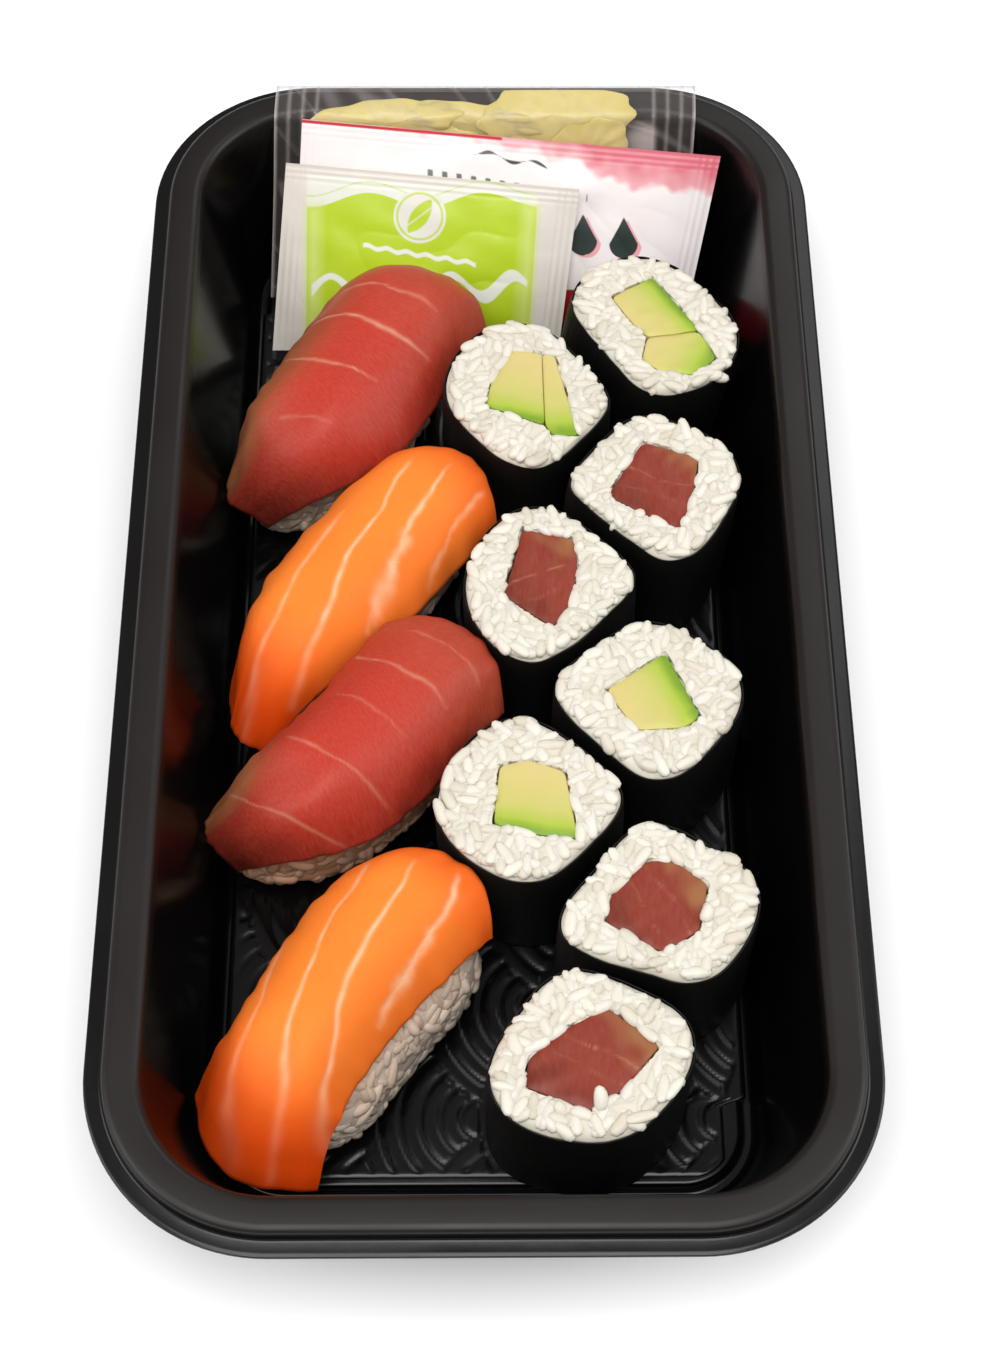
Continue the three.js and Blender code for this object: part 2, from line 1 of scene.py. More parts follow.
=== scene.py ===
"""Takeaway sushi tray: the finished surfaces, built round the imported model.

A black formed tray holds four nigiri, eight cut rolls and three sachets. Sizes are in
millimetres unless a name says otherwise, and meshes are written in metres.
"""

from functools import partial

import bpy
import numpy as np
from bpy.props import FloatProperty, FloatVectorProperty, IntProperty, PointerProperty
from mathutils import Matrix, Vector


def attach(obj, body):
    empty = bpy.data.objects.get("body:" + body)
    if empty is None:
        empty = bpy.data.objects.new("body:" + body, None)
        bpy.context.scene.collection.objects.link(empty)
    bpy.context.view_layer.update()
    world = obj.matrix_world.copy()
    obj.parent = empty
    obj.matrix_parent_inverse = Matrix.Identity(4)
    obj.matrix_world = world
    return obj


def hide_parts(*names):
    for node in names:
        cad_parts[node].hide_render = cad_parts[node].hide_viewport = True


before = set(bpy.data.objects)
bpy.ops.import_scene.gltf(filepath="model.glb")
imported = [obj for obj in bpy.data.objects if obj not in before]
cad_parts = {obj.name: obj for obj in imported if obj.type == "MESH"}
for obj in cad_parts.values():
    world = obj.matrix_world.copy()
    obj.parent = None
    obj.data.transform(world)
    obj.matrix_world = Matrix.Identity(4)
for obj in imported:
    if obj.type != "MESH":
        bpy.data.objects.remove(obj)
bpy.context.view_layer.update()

bl_info = {
    "name": "Takeaway sushi tray",
    "version": (1, 0, 0),
    "blender": (4, 5, 0),
    "location": "3D View > Sidebar > Sushi tray",
    "description": "Builds a filled takeaway sushi tray with its studio",
    "category": "Object",
}

MM = 0.001

# ------------------------------------------------------------------ sizes of the solids

# The last two are for the mesh: steps round a corner, and along the short and long sides.
TRAY = {
    "width": 120, "length": 226, "height": 32, "corner": 28.6, "sheet": 0.8,
    "flange_width": 2.6, "flange_drop": 2.5, "rim_inner": 8, "draft": 15,
    "gutter_floor": 0.8, "gutter_width": 2.2, "panel_top": 3.0, "edge": 0.6,
    "corner_steps": 24, "side_steps": (14, 30),
}

# The raised floor: half its width and length, the radius of its corners, and how far its sides
# step in near both ends, between which distances from the middle.
FLOOR = {"half_x": 42.0, "half_y": 92.8, "corner": 8.0, "notch": 3.6, "notch_span": (79.4, 80.8)}

# The wave emboss: radius of a fan, distance between its rings, half width of a groove and the
# place of one fan's middle.
EMBOSS = {"radius": 19.2, "spacing": 3.2, "groove": 0.42, "centre": (-0.7, -82.9)}

# Food is clear of the floor and of other food by the gap, and stands at the foot's height.
GAP = 0.3
FOOT = TRAY["panel_top"] + GAP

# `flatness` is the power that flattens two rolls where they press on each other.
ROLL = {
    "face": 28.7, "nori_below": 0.9, "skin": 0.4, "skin_gap": 0.2, "flatness": 14, "steps": 144,
}

# x, y, radius, (share, degrees) of the two-, three- and four-lobed swell, lean
ROLLS = [
    (31.2, 57.4, 14.4, ((0.136, -53), (0.022, 10), (0.022, -8)), (3.1, -0.5)),
    (8.1, 41.9, 14.5, ((0.084, -58), (0.011, 14), (0.033, 5)), (0, -0.5)),
    (29.7, 22.5, 14.4, ((0.013, -77), (0.027, 31), (0.041, 13)), (1.4, 0)),
    (10.7, 3.1, 14.3, ((0.079, 62), (0.053, 14), (0.033, 7)), (-0.8, 0)),
    (27.2, -19.4, 14.3, ((0.021, -14), (0.032, 32), (0.045, 4)), (0, 0)),
    (7, -38.2, 14.1, ((0.015, 14), (0.03, -1), (0.039, 8)), (-0.8, 0)),
    (27.9, -56.9, 13.75, ((0.073, 6), (0.061, -34), (0.073, 17)), (0, 0)),
    (16.2, -81.7, 14.2, ((0.077, 27), (0.027, -22), (0.04, 17)), (0, 0)),
]

# Each filling: its outline about the roll's middle, the way (degrees) in which its colour
# turns, from yellow to green on avocado, and a power that keeps the turn near its end.
FILLINGS = [
    {
        "avocado_a": ([(-7.5, 5.5), (-0.2, 10), (7.8, -1.9), (-1.5, -3.4), (-4.9, 1.1)], 35, 1.1),
        "avocado_b": (
            [(-1.5, -3.8), (7.8, -2.4), (10.4, -8.2), (6.6, -11.8), (0.5, -11), (-2.5, -8.5)],
            -25, 1.1),
    },
    {
        "avocado_a": (
            [(-2.3, 9.1), (2.5, 8.3), (2.75, -7.1), (-7.2, -3.1), (-6.4, 1.6)], -105, 1.7),
        "avocado_b": ([(2.8, 8.3), (4.8, 7.8), (8.6, -9.4), (4.2, -9.4), (3.05, -6.8)], -80, 1.5),
    },
    {
        "tuna": (
            [(-1.7, 8.4), (7.8, 5.4), (6.7, -1.1), (4.1, -9.5), (-1.4, -6.7), (-8, -2.7)], 40, 1),
    },
    {
        "tuna": (
            [(-3.8, 9.9), (4.9, 7.6), (5.2, 2), (3.9, -5.2), (0.9, -9.5), (-7.2, -3.4),
             (-5.2, 3.4)], 40, 1),
    },
    {"avocado": ([(-6.9, 0.7), (2.9, 7.6), (8, -4.3), (5.3, -6.2), (-2.3, -6.6)], 25, 1.2)},
    {
        "avocado": (
            [(-4.3, 5.5), (0.5, 6.5), (6, 4.4), (7.8, -7.4), (1.1, -6.6), (-5.3, -4.8)], -100, 1.5),
    },
    {
        "tuna": (
            [(-2.4, 7.2), (1.9, 7.4), (7.1, 3.2), (5.3, -4.6), (-0.5, -8.1), (-9, -3), (-8, 1.3)],
            20, 1),
    },
    {
        "tuna": (
            [(2.4, 7.5), (10.2, 1.3), (4.1, -5.9), (-0.4, -8.9), (-10.1, -5.1), (-9.5, -0.8),
             (-5, 3.3)], 30, 1),
    },
]

# Loose grains on a roll: x, y, turn and tip (degrees).
LOOSE = {6: [(34.7, -59, 70, 15)], 7: [(17.3, -89.1, 95, 35)]}

# Corners: low end left and right, high end right and left. Then how far each side bows out,
# the skew of the two long sides' bows, how far the high end and the left side droop, and the
# lines: half width, strength and points (u, v). Last, how far the rice lies inside each side,
# how much painted warm light, bounced from the fish, lies on that rice, and for tuna between
# which -u its left edge turns brown.
NIGIRI = [
    {
        "fish": "tuna", "corners": ((-46.1, 34.5), (-40.8, 25), (3.2, 63.5), (-24, 73)),
        "bow": {"low": 2, "right": 9.8, "high": 5, "left": 0.2},
        "skew": {"right": 0.75, "left": 0}, "droop": {"high": 8, "left": 8},
        "lines": (
            (0.28, 0.45, ((0.62, -0.95), (0.6, -0.6), (0.59, -0.2), (0.6, 0.15), (0.64, 0.55))),
            (0.32, 0.7, ((0.28, -1), (0.29, -0.55), (0.3, -0.1), (0.32, 0.38), (0.4, 0.75))),
            (0.27, 0.5, ((-0.12, -1), (-0.15, -0.55), (-0.1, -0.2), (-0.04, 0.16), (0.0, 0.45))),
            (0.3, 0.2, ((-0.57, -0.2), (-0.5, 0.02), (-0.44, 0.22), (-0.4, 0.43))),
        ),
        "rice": {"low": 5, "high": 11, "left": 5, "right": 5}, "stain": 0.35, "brown": (-0.8, 0.2),
    },
    {
        "fish": "salmon", "corners": ((-43.5, -13), (-37.5, -23), (4.4, 20.6), (-17, 33)),
        "bow": {"low": 1.5, "right": 2.6, "high": 5.4, "left": 3.6},
        "skew": {"right": 0, "left": 0.4}, "droop": {"high": 7, "left": 8.5},
        "lines": (
            (0.4, 0.45, ((0.3, -0.52), (0.05, -0.44), (-0.24, -0.33), (-0.52, -0.18),
                         (-0.72, -0.11), (-0.88, 0.16), (-0.97, 0.4))),
            (0.34, 0.7, ((0.75, -0.32), (0.55, -0.2), (0.33, -0.04), (0.03, 0.06), (-0.22, 0.34),
                        (-0.47, 0.57), (-0.76, 0.9))),
            (0.36, 0.75, ((0.84, 0.15), (0.66, 0.26), (0.46, 0.33), (0.29, 0.46), (0.07, 0.66),
                         (-0.18, 0.85))),
            (0.32, 0.45, ((0.95, 0.72), (0.78, 0.71), (0.6, 0.75), (0.47, 0.82), (0.31, 0.93))),
            (0.9, 0.65, ((0.36, 0.43), (0.22, 0.52), (0.05, 0.67), (-0.12, 0.82))),
        ),
        "rice": {"low": 5.5, "high": 5, "left": 4, "right": 5.5}, "stain": 0.4,
    },
    {
        "fish": "tuna", "corners": ((-46.2, -32), (-43.2, -42.6), (5.4, -17.7), (-14.5, -1.6)),
        "bow": {"low": 1.2, "right": 10.3, "high": 4.2, "left": -3.4},
        "skew": {"right": 0.6, "left": 1}, "droop": {"high": 5, "left": 5.5},
        "lines": (
            (0.22, 0.25, ((0.74, -0.62), (0.76, -0.25), (0.78, 0.1), (0.81, 0.4), (0.83, 0.7))),
            (0.26, 0.42, ((0.49, -1), (0.45, -0.68), (0.47, -0.15), (0.52, 0.23), (0.56, 0.6))),
            (0.2, 0.2, ((0.09, -0.73), (0.13, -0.48), (0.17, -0.1), (0.2, 0.22), (0.24, 0.5))),
            (0.24, 0.36, ((-0.38, -0.75), (-0.29, -0.33), (-0.2, 0.1), (-0.1, 0.55),
                          (-0.03, 0.85))),
            (0.22, 0.36, ((-0.88, -0.8), (-0.77, -0.24), (-0.68, 0.19), (-0.53, 0.72), (-0.34, 1))),
        ),
        "rice": {"low": 4, "high": 4, "left": 4, "right": 5}, "stain": 0.8, "brown": (0.3, 0.85),
    },
    {
        "fish": "salmon", "corners": ((-46.8, -81.8), (-25, -98.8), (3.4, -58.8), (-16, -44.6)),
        "bow": {"low": 6, "right": -4.3, "high": 4.2, "left": 1.1},
        "skew": {"right": 0.15, "left": -4}, "droop": {"high": 5.5, "left": 8.5},
        "lines": (
            (0.38, 0.4, ((0.1, -0.97), (-0.12, -0.88), (-0.35, -0.66), (-0.64, -0.5), (-0.82, -0.3),
                        (-0.93, 0.05))),
            (0.32, 0.6, ((0.8, -0.85), (0.57, -0.57), (0.24, -0.46), (-0.06, -0.24), (-0.38, 0.02),
                        (-0.62, 0.34), (-0.95, 0.55))),
            (0.36, 0.7, ((0.85, -0.32), (0.63, -0.04), (0.3, 0.1), (0.01, 0.29), (-0.28, 0.58),
                         (-0.55, 0.77), (-0.8, 0.97))),
            (0.38, 0.75, ((0.93, 0.22), (0.77, 0.5), (0.47, 0.66), (0.19, 0.76), (-0.02, 0.84))),
            (0.7, 0.55, ((0.62, 0.6), (0.45, 0.68), (0.28, 0.74), (0.15, 0.78))),
        ),
        "rice": {"low": 11, "high": 4, "left": 4, "right": -1.5}, "stain": 0.25,
    },
]

# Patterns on a slice are worked out on a flat one of `half_slice`, its ripples on one of
# `half_ripple`, and fibres on one whose half width is `half_fibre`, which draws them out.
FISH = {
    "crest": 31.5, "drop_low": 18, "drop_right": 10.5,
    "power_low": 3, "power_high": 6, "power_side": 2.6,
    "thick": 4.4, "thick_edge": 1.8, "corner_pull": 0.14,
    "half_slice": (27, 13), "half_ripple": (26, 12), "half_fibre": 4,
}

# `levels` are (how far in, how far up) on the side of a block of pressed rice.
RICE_BLOCK = {
    "half_length": 29, "half_width": 14, "roundness": 0.55,
    "levels": ((2.2, 0), (0, 4), (0.4, 14), (3.5, 24)),
}

# Profiles are (y, z) from the foot to the head of each sachet, foot and head its left and right
# edge there, right_reach the share of the height that its right edge reaches, swell half the
# filling's thickness and seal half the seams'.
SACHETS = {
    "ginger": {
        "profile": ((82.5, 4.4), (95.4, 19.4), (100.9, 30), (102.5, 32.9), (108.2, 34.4)),
        "foot": (-40.5, 39.5), "head": (-38.2, 40.3), "right_reach": 1, "swell": 2, "seal": 0.4,
    },
    "soy": {
        "profile": ((75.2, 5.6), (87.5, 19.7), (100.6, 34)),
        "foot": (-36, 38.8), "head": (-33.2, 44.9), "right_reach": 0.82, "swell": 1.5, "seal": 0.35,
    },
    "wasabi": {
        "profile": ((69.2, 5), (80.8, 18.4), (92.4, 31.2)),
        "foot": (-39.6, 14.7), "head": (-36.1, 18.3), "right_reach": 0.86, "swell": 1.7,
        "seal": 0.35,
    },
}

# Ginger shavings in their bag: across, up, half length, half width, turn (degrees), and how far
# they lie in front of its middle.
GINGER = (
    (-17.6, 33.9, 13.6, 4.8, 4, 0), (-1.6, 33.4, 12.4, 4.6, -6, -0.15),
    (13.8, 35.4, 14.6, 6.4, 5, 0.1), (-13, 27.6, 13, 6.2, 12, 0.5), (5, 26.5, 14, 6.6, -10, -0.5),
    (19.5, 27.6, 9.5, 6.4, 20, 0.9), (-26, 22, 9, 6.5, -20, -0.6), (-8, 19.6, 12, 6, 8, 0.6),
    (11, 18, 11, 6.2, -16, 0.9), (24, 16, 8, 6, 30, -0.4), (-20, 11, 11, 5.2, 10, 0.4),
    (1, 9.5, 12, 5, -6, -0.5), (20, 8, 9, 4.4, 12, 0.5),
)

# Colours of raw fish, how rough it is and how strongly it shines, fibres to the millimetre and
# how much they show. `deep` is the colour of painted shade on the slices, and on the cut tuna
# in the rolls a darker colour towards one side.
RAW_FISH = {
    "raw_tuna": {
        "flesh": ("#b22d1d", "#ba3624"), "deep": "#641208", "line": "#dca58b", "pale": "#9c5a36",
        "wet": 0.42, "shine": 0.38, "fibre_scale": 2.6, "fibre_share": 0.09,
    },
    "raw_salmon": {
        "flesh": ("#f97d2a", "#fc8834"), "deep": "#cc3a00", "line": "#ffcfa8", "pale": "#e24400",
        "wet": 0.45, "shine": 0.15, "fibre_scale": 1.6, "fibre_share": 0.02,
    },
    "raw_tuna_cut": {
        "flesh": ("#7e2a1d", "#8c3828"), "deep": "#5c2016", "line": "#b87e62", "pale": "#98683e",
        "wet": 0.4, "shine": 0.4, "fibre_scale": 1.3, "fibre_share": 0.12,
    },
}

# Inks of the printed sachets in the order of printing: mark, colour and softness of its edge.
# On the wasabi pouch one of them is painted sheen, a lighter green by the seals.
SOY_INKS = (
    ("wash", "#eaabb0", 0.7), ("deep_wash", "#d8707c", 2.0), ("edge_line", "#c8323c", 0.1),
    ("brush", "#4a4644", 0.1), ("dashes", "#6a6866", 0.12), ("drop_shade", "#eda6ac", 0.12),
    ("drops", "#2b3833", 0.1), ("red_foot", "#a81c24", 0.15),
)
WASABI_INKS = (
    ("pale_zone", "#e0dfd2", 0.3), ("hairline", "#b9d36a", 0.12), ("field", "#b4cc20", 0.12),
    ("sheen", "#c8d86c", 1.2), ("medal", "#dcd9cf", 0.12), ("ring", "#bdd058", 0.1),
    ("leaf", "#b4cc20", 0.12), ("vein", "#dcd9cf", 0.1), ("strokes", "#e6e6d8", 0.15),
)

# Softboxes: name, place in metres, size in metres and power in watts.
LIGHTS = (
    ("key_softbox", (-0.05, -0.34, 1.15), 0.75, 9.3),
    ("left_softbox", (-0.95, -0.25, 0.7), 0.8, 6.0),
    ("right_softbox", (0.95, -0.05, 0.7), 0.8, 6.0),
    ("back_softbox", (0.35, 0.8, 0.95), 0.6, 2.0),
)
AMBIENT = 0.26

# The camera looks down by `pitch`, turned right by `yaw` and tipped by `roll`, in radians.
CAMERA = {"place": (-0.948, -214.255, 371.53), "pitch": np.pi / 3, "yaw": 0.0189, "roll": 0.0135}

# ------------------------------------------------------------------ solids from arrays
# A solid is (points, faces, marks): an (n, 3) array, a list of arrays of corner numbers, and
# named values, one for each point.


def grid_faces(rows, columns, wrap=False):
    """Quads between neighbours of a grid; with wrap the last column joins the first."""
    i, j = np.meshgrid(np.arange(rows - 1), np.arange(columns - (not wrap)), indexing="ij")
    k = (j + 1) % columns
    corners = [i * columns + j, i * columns + k, (i + 1) * columns + k, (i + 1) * columns + j]
    return np.stack(corners, -1).reshape(-1, 4)


def border_loop(rows, columns):
    """Numbers of a grid's outermost points, in order round it."""
    index = np.arange(rows * columns).reshape(rows, columns)
    return np.concatenate([index[0, :-1], index[:-1, -1], index[-1, :0:-1], index[:0:-1, 0]])


def turned_out(points, faces):
    """The faces, turned over if the volume under their fans of triangles is negative."""
    volume = 0.0
    for group in faces:
        first = points[group[:, 0]]
        for k in range(1, group.shape[1] - 1):
            second, third = points[group[:, k]], points[group[:, k + 1]]
            volume += np.einsum("ij,ij->", first, np.cross(second, third))
    return [group[:, ::-1] for group in faces] if volume < 0 else faces


def ring_solid(rings, closed=False, **marks):
    """Rings of equal count, skinned in order. When closed the last joins the first, and
    otherwise one face closes each end. A mark has one value all over."""
    rows, columns = np.shape(rings)[:2]
    points = np.reshape(rings, (-1, 3))
    if closed:
        faces = [grid_faces(rows + 1, columns, wrap=True) % len(points)]
    else:
        ends = np.array([np.arange(columns)[::-1], np.arange(columns) + (rows - 1) * columns])
        faces = [grid_faces(rows, columns, wrap=True), ends]
    marks = {name: np.full(len(points), value) for name, value in marks.items()}
    return points, turned_out(points, faces), marks


def slab_solid(upper, lower, marks, bulge=None):
    """Two grids over the same square, joined round their edges; bulge adds rings between
    them, each moved out by its share of a sine. Faces and rings all take the grid's marks."""
    rows, columns = upper.shape[:2]
    count = rows * columns
    edge = border_loop(rows, columns)
    grid = grid_faces(rows, columns)
    high, low = upper.reshape(-1, 3), lower.reshape(-1, 3)
    points, loops = [high, low], [edge]
    steps = 1 if bulge is None else 4
    for k in range(1, steps):
        share = k / steps
        loops.append(2 * count + (k - 1) * len(edge) + np.arange(len(edge)))
        points.append(
            high[edge] + (low[edge] - high[edge]) * share + bulge * np.sin(np.pi * share))
    loops.append(edge + count)
    faces = [grid, grid[:, ::-1] + count]
    for a, b in zip(loops, loops[1:]):
        faces.append(np.stack([a, b, np.roll(b, -1), np.roll(a, -1)], -1))
    points = np.concatenate(points)
    source = np.concatenate([np.arange(count)] * 2 + [edge] * (steps - 1))
    marks = {name: values.ravel()[source] for name, values in marks.items()}
    return points, turned_out(points, faces), marks


def joined(solids):
    """One solid from many, each one's face numbers moved up by the points before it; a mark
    that one lacks is nought there."""
    faces, start = [], 0
    marks = {name: [] for *_, solid_marks in solids for name in solid_marks}
    for points, solid_faces, solid_marks in solids:
        faces += [group + start for group in solid_faces]
        for name, parts in marks.items():
            parts.append(solid_marks.get(name, np.zeros(len(points))))
        start += len(points)
    points = np.concatenate([solid[0] for solid in solids])
    return points, faces, {name: np.concatenate(parts) for name, parts in marks.items()}


def add_piece(name, solid, material, nodes, sharp=40):
    """Puts a solid into the scene as a piece of the tray that stands for CAD nodes."""
    points, faces, marks = solid
    mesh = bpy.data.meshes.new(name)
    sizes = np.concatenate([np.full(len(group), group.shape[1]) for group in faces])
    corners = np.concatenate([group.ravel() for group in faces])
    mesh.vertices.add(len(points))
    mesh.vertices.foreach_set("co", (points * MM).astype(np.float32).ravel())
    mesh.loops.add(len(corners))
    mesh.loops.foreach_set("vertex_index", corners.astype(np.int32))
    mesh.polygons.add(len(sizes))
    mesh.polygons.foreach_set("loop_start", (np.cumsum(sizes) - sizes).astype(np.int32))
    mesh.polygons.foreach_set("use_smooth", np.ones(len(sizes), bool))
    mesh.update(calc_edges=True)
    mesh.set_sharp_from_angle(angle=np.radians(sharp))
    for mark, values in marks.items():
        attribute = mesh.attributes.new(mark, "FLOAT", "POINT")
        attribute.data.foreach_set("value", np.asarray(values, np.float32))
    piece = bpy.data.objects.new(name, mesh)
    bpy.context.scene.collection.objects.link(piece)
    mesh.materials.append(material)
    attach(piece, "root")
    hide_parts(*nodes)


# ------------------------------------------------------------------ curves and noise


def unit(vectors):
    """Vectors along the last axis, each brought to length 1."""
    return vectors / np.linalg.norm(vectors, axis=-1, keepdims=True)


def direction(angle):
    """The flat vector (cosine, sine) of an angle."""
    return np.stack([np.cos(angle), np.sin(angle)], -1)


def full_turn(steps):
    """Angles spread evenly over one turn."""
    return np.linspace(0, 2 * np.pi, steps, endpoint=False)


def at_height(flat, z):
    """Flat points, (n, 2), at one height or at one each."""
    return np.column_stack([flat, z + np.zeros(len(flat))])


def path_lengths(path):
    """How far along a path each of its points lies."""
    return np.concatenate([[0], np.cumsum(np.linalg.norm(np.diff(path, axis=0), axis=1))])


def smooth_curve(points, count):
    """`count` points on a curve through `points`, each stretch a cubic whose slopes are those
    between its neighbours (Catmull-Rom)."""
    points = np.array(points, float)
    padded = np.concatenate([points[:1], points, points[-1:]])
    last = len(points) - 1
    place = np.clip(np.linspace(0, 1, count) * last, 0, last - 1e-9)
    k = place.astype(int)
    t = (place - k)[:, None]
    a, b, c, d = (padded[k + n] for n in range(4))
    square, cube = 2 * a - 5 * b + 4 * c - d, 3 * b - a - 3 * c + d
    return 0.5 * (2 * b + (c - a) * t + square * t**2 + cube * t**3)


def rounded_path(points, radius, steps, closed=False):
    """A path whose corners are replaced by curves: each runs from a point `radius` before the
    corner (or halfway along a short side) to one as far after it, as a parabola that is pulled
    towards the corner."""
    points = np.asarray(points, float)

    def pulled(neighbours):
        way = neighbours - points
        length = np.linalg.norm(way, axis=1, keepdims=True)
        return (points + way / length * np.minimum(radius, length / 2))[:, None]

    t = np.linspace(0, 1, steps + 1)[:, None]
    start, end = pulled(np.roll(points, 1, 0)), pulled(np.roll(points, -1, 0))
    curve = (1 - t) ** 2 * start + 2 * t * (1 - t) * points[:, None] + t**2 * end
    if closed:
        return np.concatenate(curve)
    return np.concatenate([points[:1], *curve[1:-1], points[-1:]])


def resampled(path, count):
    """Points spread evenly along a closed path."""
    loop = np.concatenate([path, path[:1]])
    length = path_lengths(loop)
    at = np.linspace(0, length[-1], count, endpoint=False)
    return np.stack([np.interp(at, length, loop[:, k]) for k in range(loop.shape[1])], -1)


def square_grid(rows, columns):
    """u down the rows and v along the columns of a grid, both from -1 to 1."""
    return np.meshgrid(np.linspace(-1, 1, rows), np.linspace(-1, 1, columns), indexing="ij")


def waves(x, y, scale, seed, count=6):
    """Smooth noise from about -1 to 1: sines in random directions, `scale` long, whose mean is
    made 1.6 times as high."""
    random = np.random.default_rng(seed)
    total = np.zeros_like(x, dtype=float)
    for _ in range(count):
        turn, phase = random.uniform(0, 2 * np.pi, 2)
        length = scale * random.uniform(0.7, 1.5)
        total += np.sin((x * np.cos(turn) + y * np.sin(turn)) * 2 * np.pi / length + phase)
    return total / count * 1.6


def smooth_step(x, low, high):
    """0 below low, 1 above high and an even S between them."""
    t = np.clip((x - low) / (high - low), 0, 1)
    return t * t * (3 - 2 * t)


# ------------------------------------------------------------------ materials
# A noise's scale on Object coordinates is given as its features to the millimetre, over MM.


def linear(colour):
    """An sRGB hex colour as linear red, green, blue and an alpha of 1."""
    parts = [int(colour[k : k + 2], 16) / 255 for k in (1, 3, 5)]
    return [c / 12.92 if c <= 0.04045 else ((c + 0.055) / 1.055) ** 2.4 for c in parts] + [1.0]


def add_node(tree, kind, values, out=0, stops=(), **own):
    """Adds a node with its own properties, a ramp's colour stops and `values` for its inputs: a
    socket is linked to the input that is named, and any other value is set there. Returns the
    output `out`, where the node has outputs."""
    node = tree.nodes.new("ShaderNode" + kind)
    for name, value in own.items():
        setattr(node, name, value)
    for name, value in values.items():
        if isinstance(value, bpy.types.NodeSocket):
            tree.links.new(value, node.inputs[name])
        else:
            node.inputs[name].default_value = value
    for k, (position, colour) in enumerate(stops):
        element = node.color_ramp.elements[k] if k < 2 else node.color_ramp.elements.new(position)
        element.position = position
        element.color = linear(colour)
    return node.outputs[out] if node.outputs else None


def new_material(name):
    """An empty material, a function that adds a node to it, and its Object coordinates."""
    material = bpy.data.materials.new(name)
    material.use_nodes = True
    material.node_tree.nodes.clear()
    add = partial(add_node, material.node_tree)
    return material, add, add("TexCoord", {}, "Object")


def finished(material, add, colour, layers, relief, looks):
    """Ends a material. Each layer's colour is laid over what is there by its factor; the shader
    takes the result, a bump (strength, distance in millimetres, height) and its `looks`."""
    for factor, other in layers:
        colour = add("Mix", {0: factor, 6: colour, 7: linear(other)}, 2, data_type="RGBA")
    strength, distance, height = relief
    bump = add("Bump", {"Strength": strength, "Distance": distance * MM, "Height": height})
    shader = add("BsdfPrincipled", {"Base Color": colour, "Normal": bump, **looks})
    add("OutputMaterial", {"Surface": shader})
    return material


def black_tray_plastic():
    """Vacuum-formed black polystyrene: near black, glossy where the hot sheet touched nothing,
    satin on the rim, whose lighter, warm colour is painted sheen, with an orange peel of about
    2 mm."""
    material, add, place = new_material("black_formed_polystyrene")
    height = add("SeparateXYZ", {0: place}, "Z")
    rim = add("MapRange", {"Value": height, "From Min": 29.0 * MM, "From Max": 31.6 * MM})
    peel = add("TexNoise", {"Vector": place, "Scale": 0.42 / MM, "Detail": 3.0})
    smear = add("TexNoise", {"Vector": place, "Scale": 0.038 / MM, "Detail": 5.0})
    rough = add("MapRange", {
        "Value": smear, "From Min": 0.3, "From Max": 0.7, "To Min": 0.14, "To Max": 0.26})
    rough = add("Math", {0: rim, 1: 0.22, 2: rough}, operation="MULTIPLY_ADD")
    # On the rim band the colour is lifted to a warm dark brown: painted sheen.
    return finished(
        material, add, linear("#070606"), [(rim, "#150f0c")], (0.08, 0.2, peel),
        {"Roughness": rough, "IOR": 1.5, "Specular IOR Level": 0.38})


def steamed_rice():
    """Cooked short-grain rice: white and moist, a little see-through, so that light goes some
    way in and fills the shade between grains; each grain has a tone of its own, and the core
    and lower grains get darker values, painted shade between the grains. The mark for bounced
    light lays painted warm light, in the fish's colour, on rice under a slice."""
    material, add, place = new_material("steamed_rice")
    tint = add("Attribute", {}, "Fac", attribute_name="tint")
    stain = add("Attribute", {}, "Fac", attribute_name="stain")
    cloud = add("TexNoise", {"Vector": place, "Scale": 0.26 / MM, "Detail": 4.0})
    shade = add("ValToRGB", {0: tint}, stops=(
        (0.0, "#c2b79f"), (1.0, "#e6e1d5"), (0.3, "#d8d1c1")))
    return finished(
        material, add, shade, [(cloud, "#ded9cb"), (stain, "#d98a55")], (0.12, 0.3, cloud), {
            "Roughness": 0.45, "IOR": 1.38, "Subsurface Weight": 0.15,
            "Subsurface Radius": (1.0, 0.95, 0.85), "Subsurface Scale": 0.8 * MM})


def toasted_seaweed():
    """Toasted nori gone damp on the rice: green-black and dull, with pressed fibres about a
    millimetre apart that run up the roll."""
    material, add, place = new_material("toasted_seaweed")
    drawn = add("Mapping", {"Vector": place, "Scale": (1.0, 1.0, 0.25)})
    fibres = add("TexNoise", {"Vector": drawn, "Scale": 0.9 / MM, "Detail": 6.0})
    blotches = add("TexNoise", {"Vector": place, "Scale": 0.16 / MM, "Detail": 3.0})
    return finished(
        material, add, linear("#050505"), [(blotches, "#0e0d0a")], (0.5, 0.3, fibres),
        {"Roughness": 0.6, "IOR": 1.45, "Specular IOR Level": 0.3})


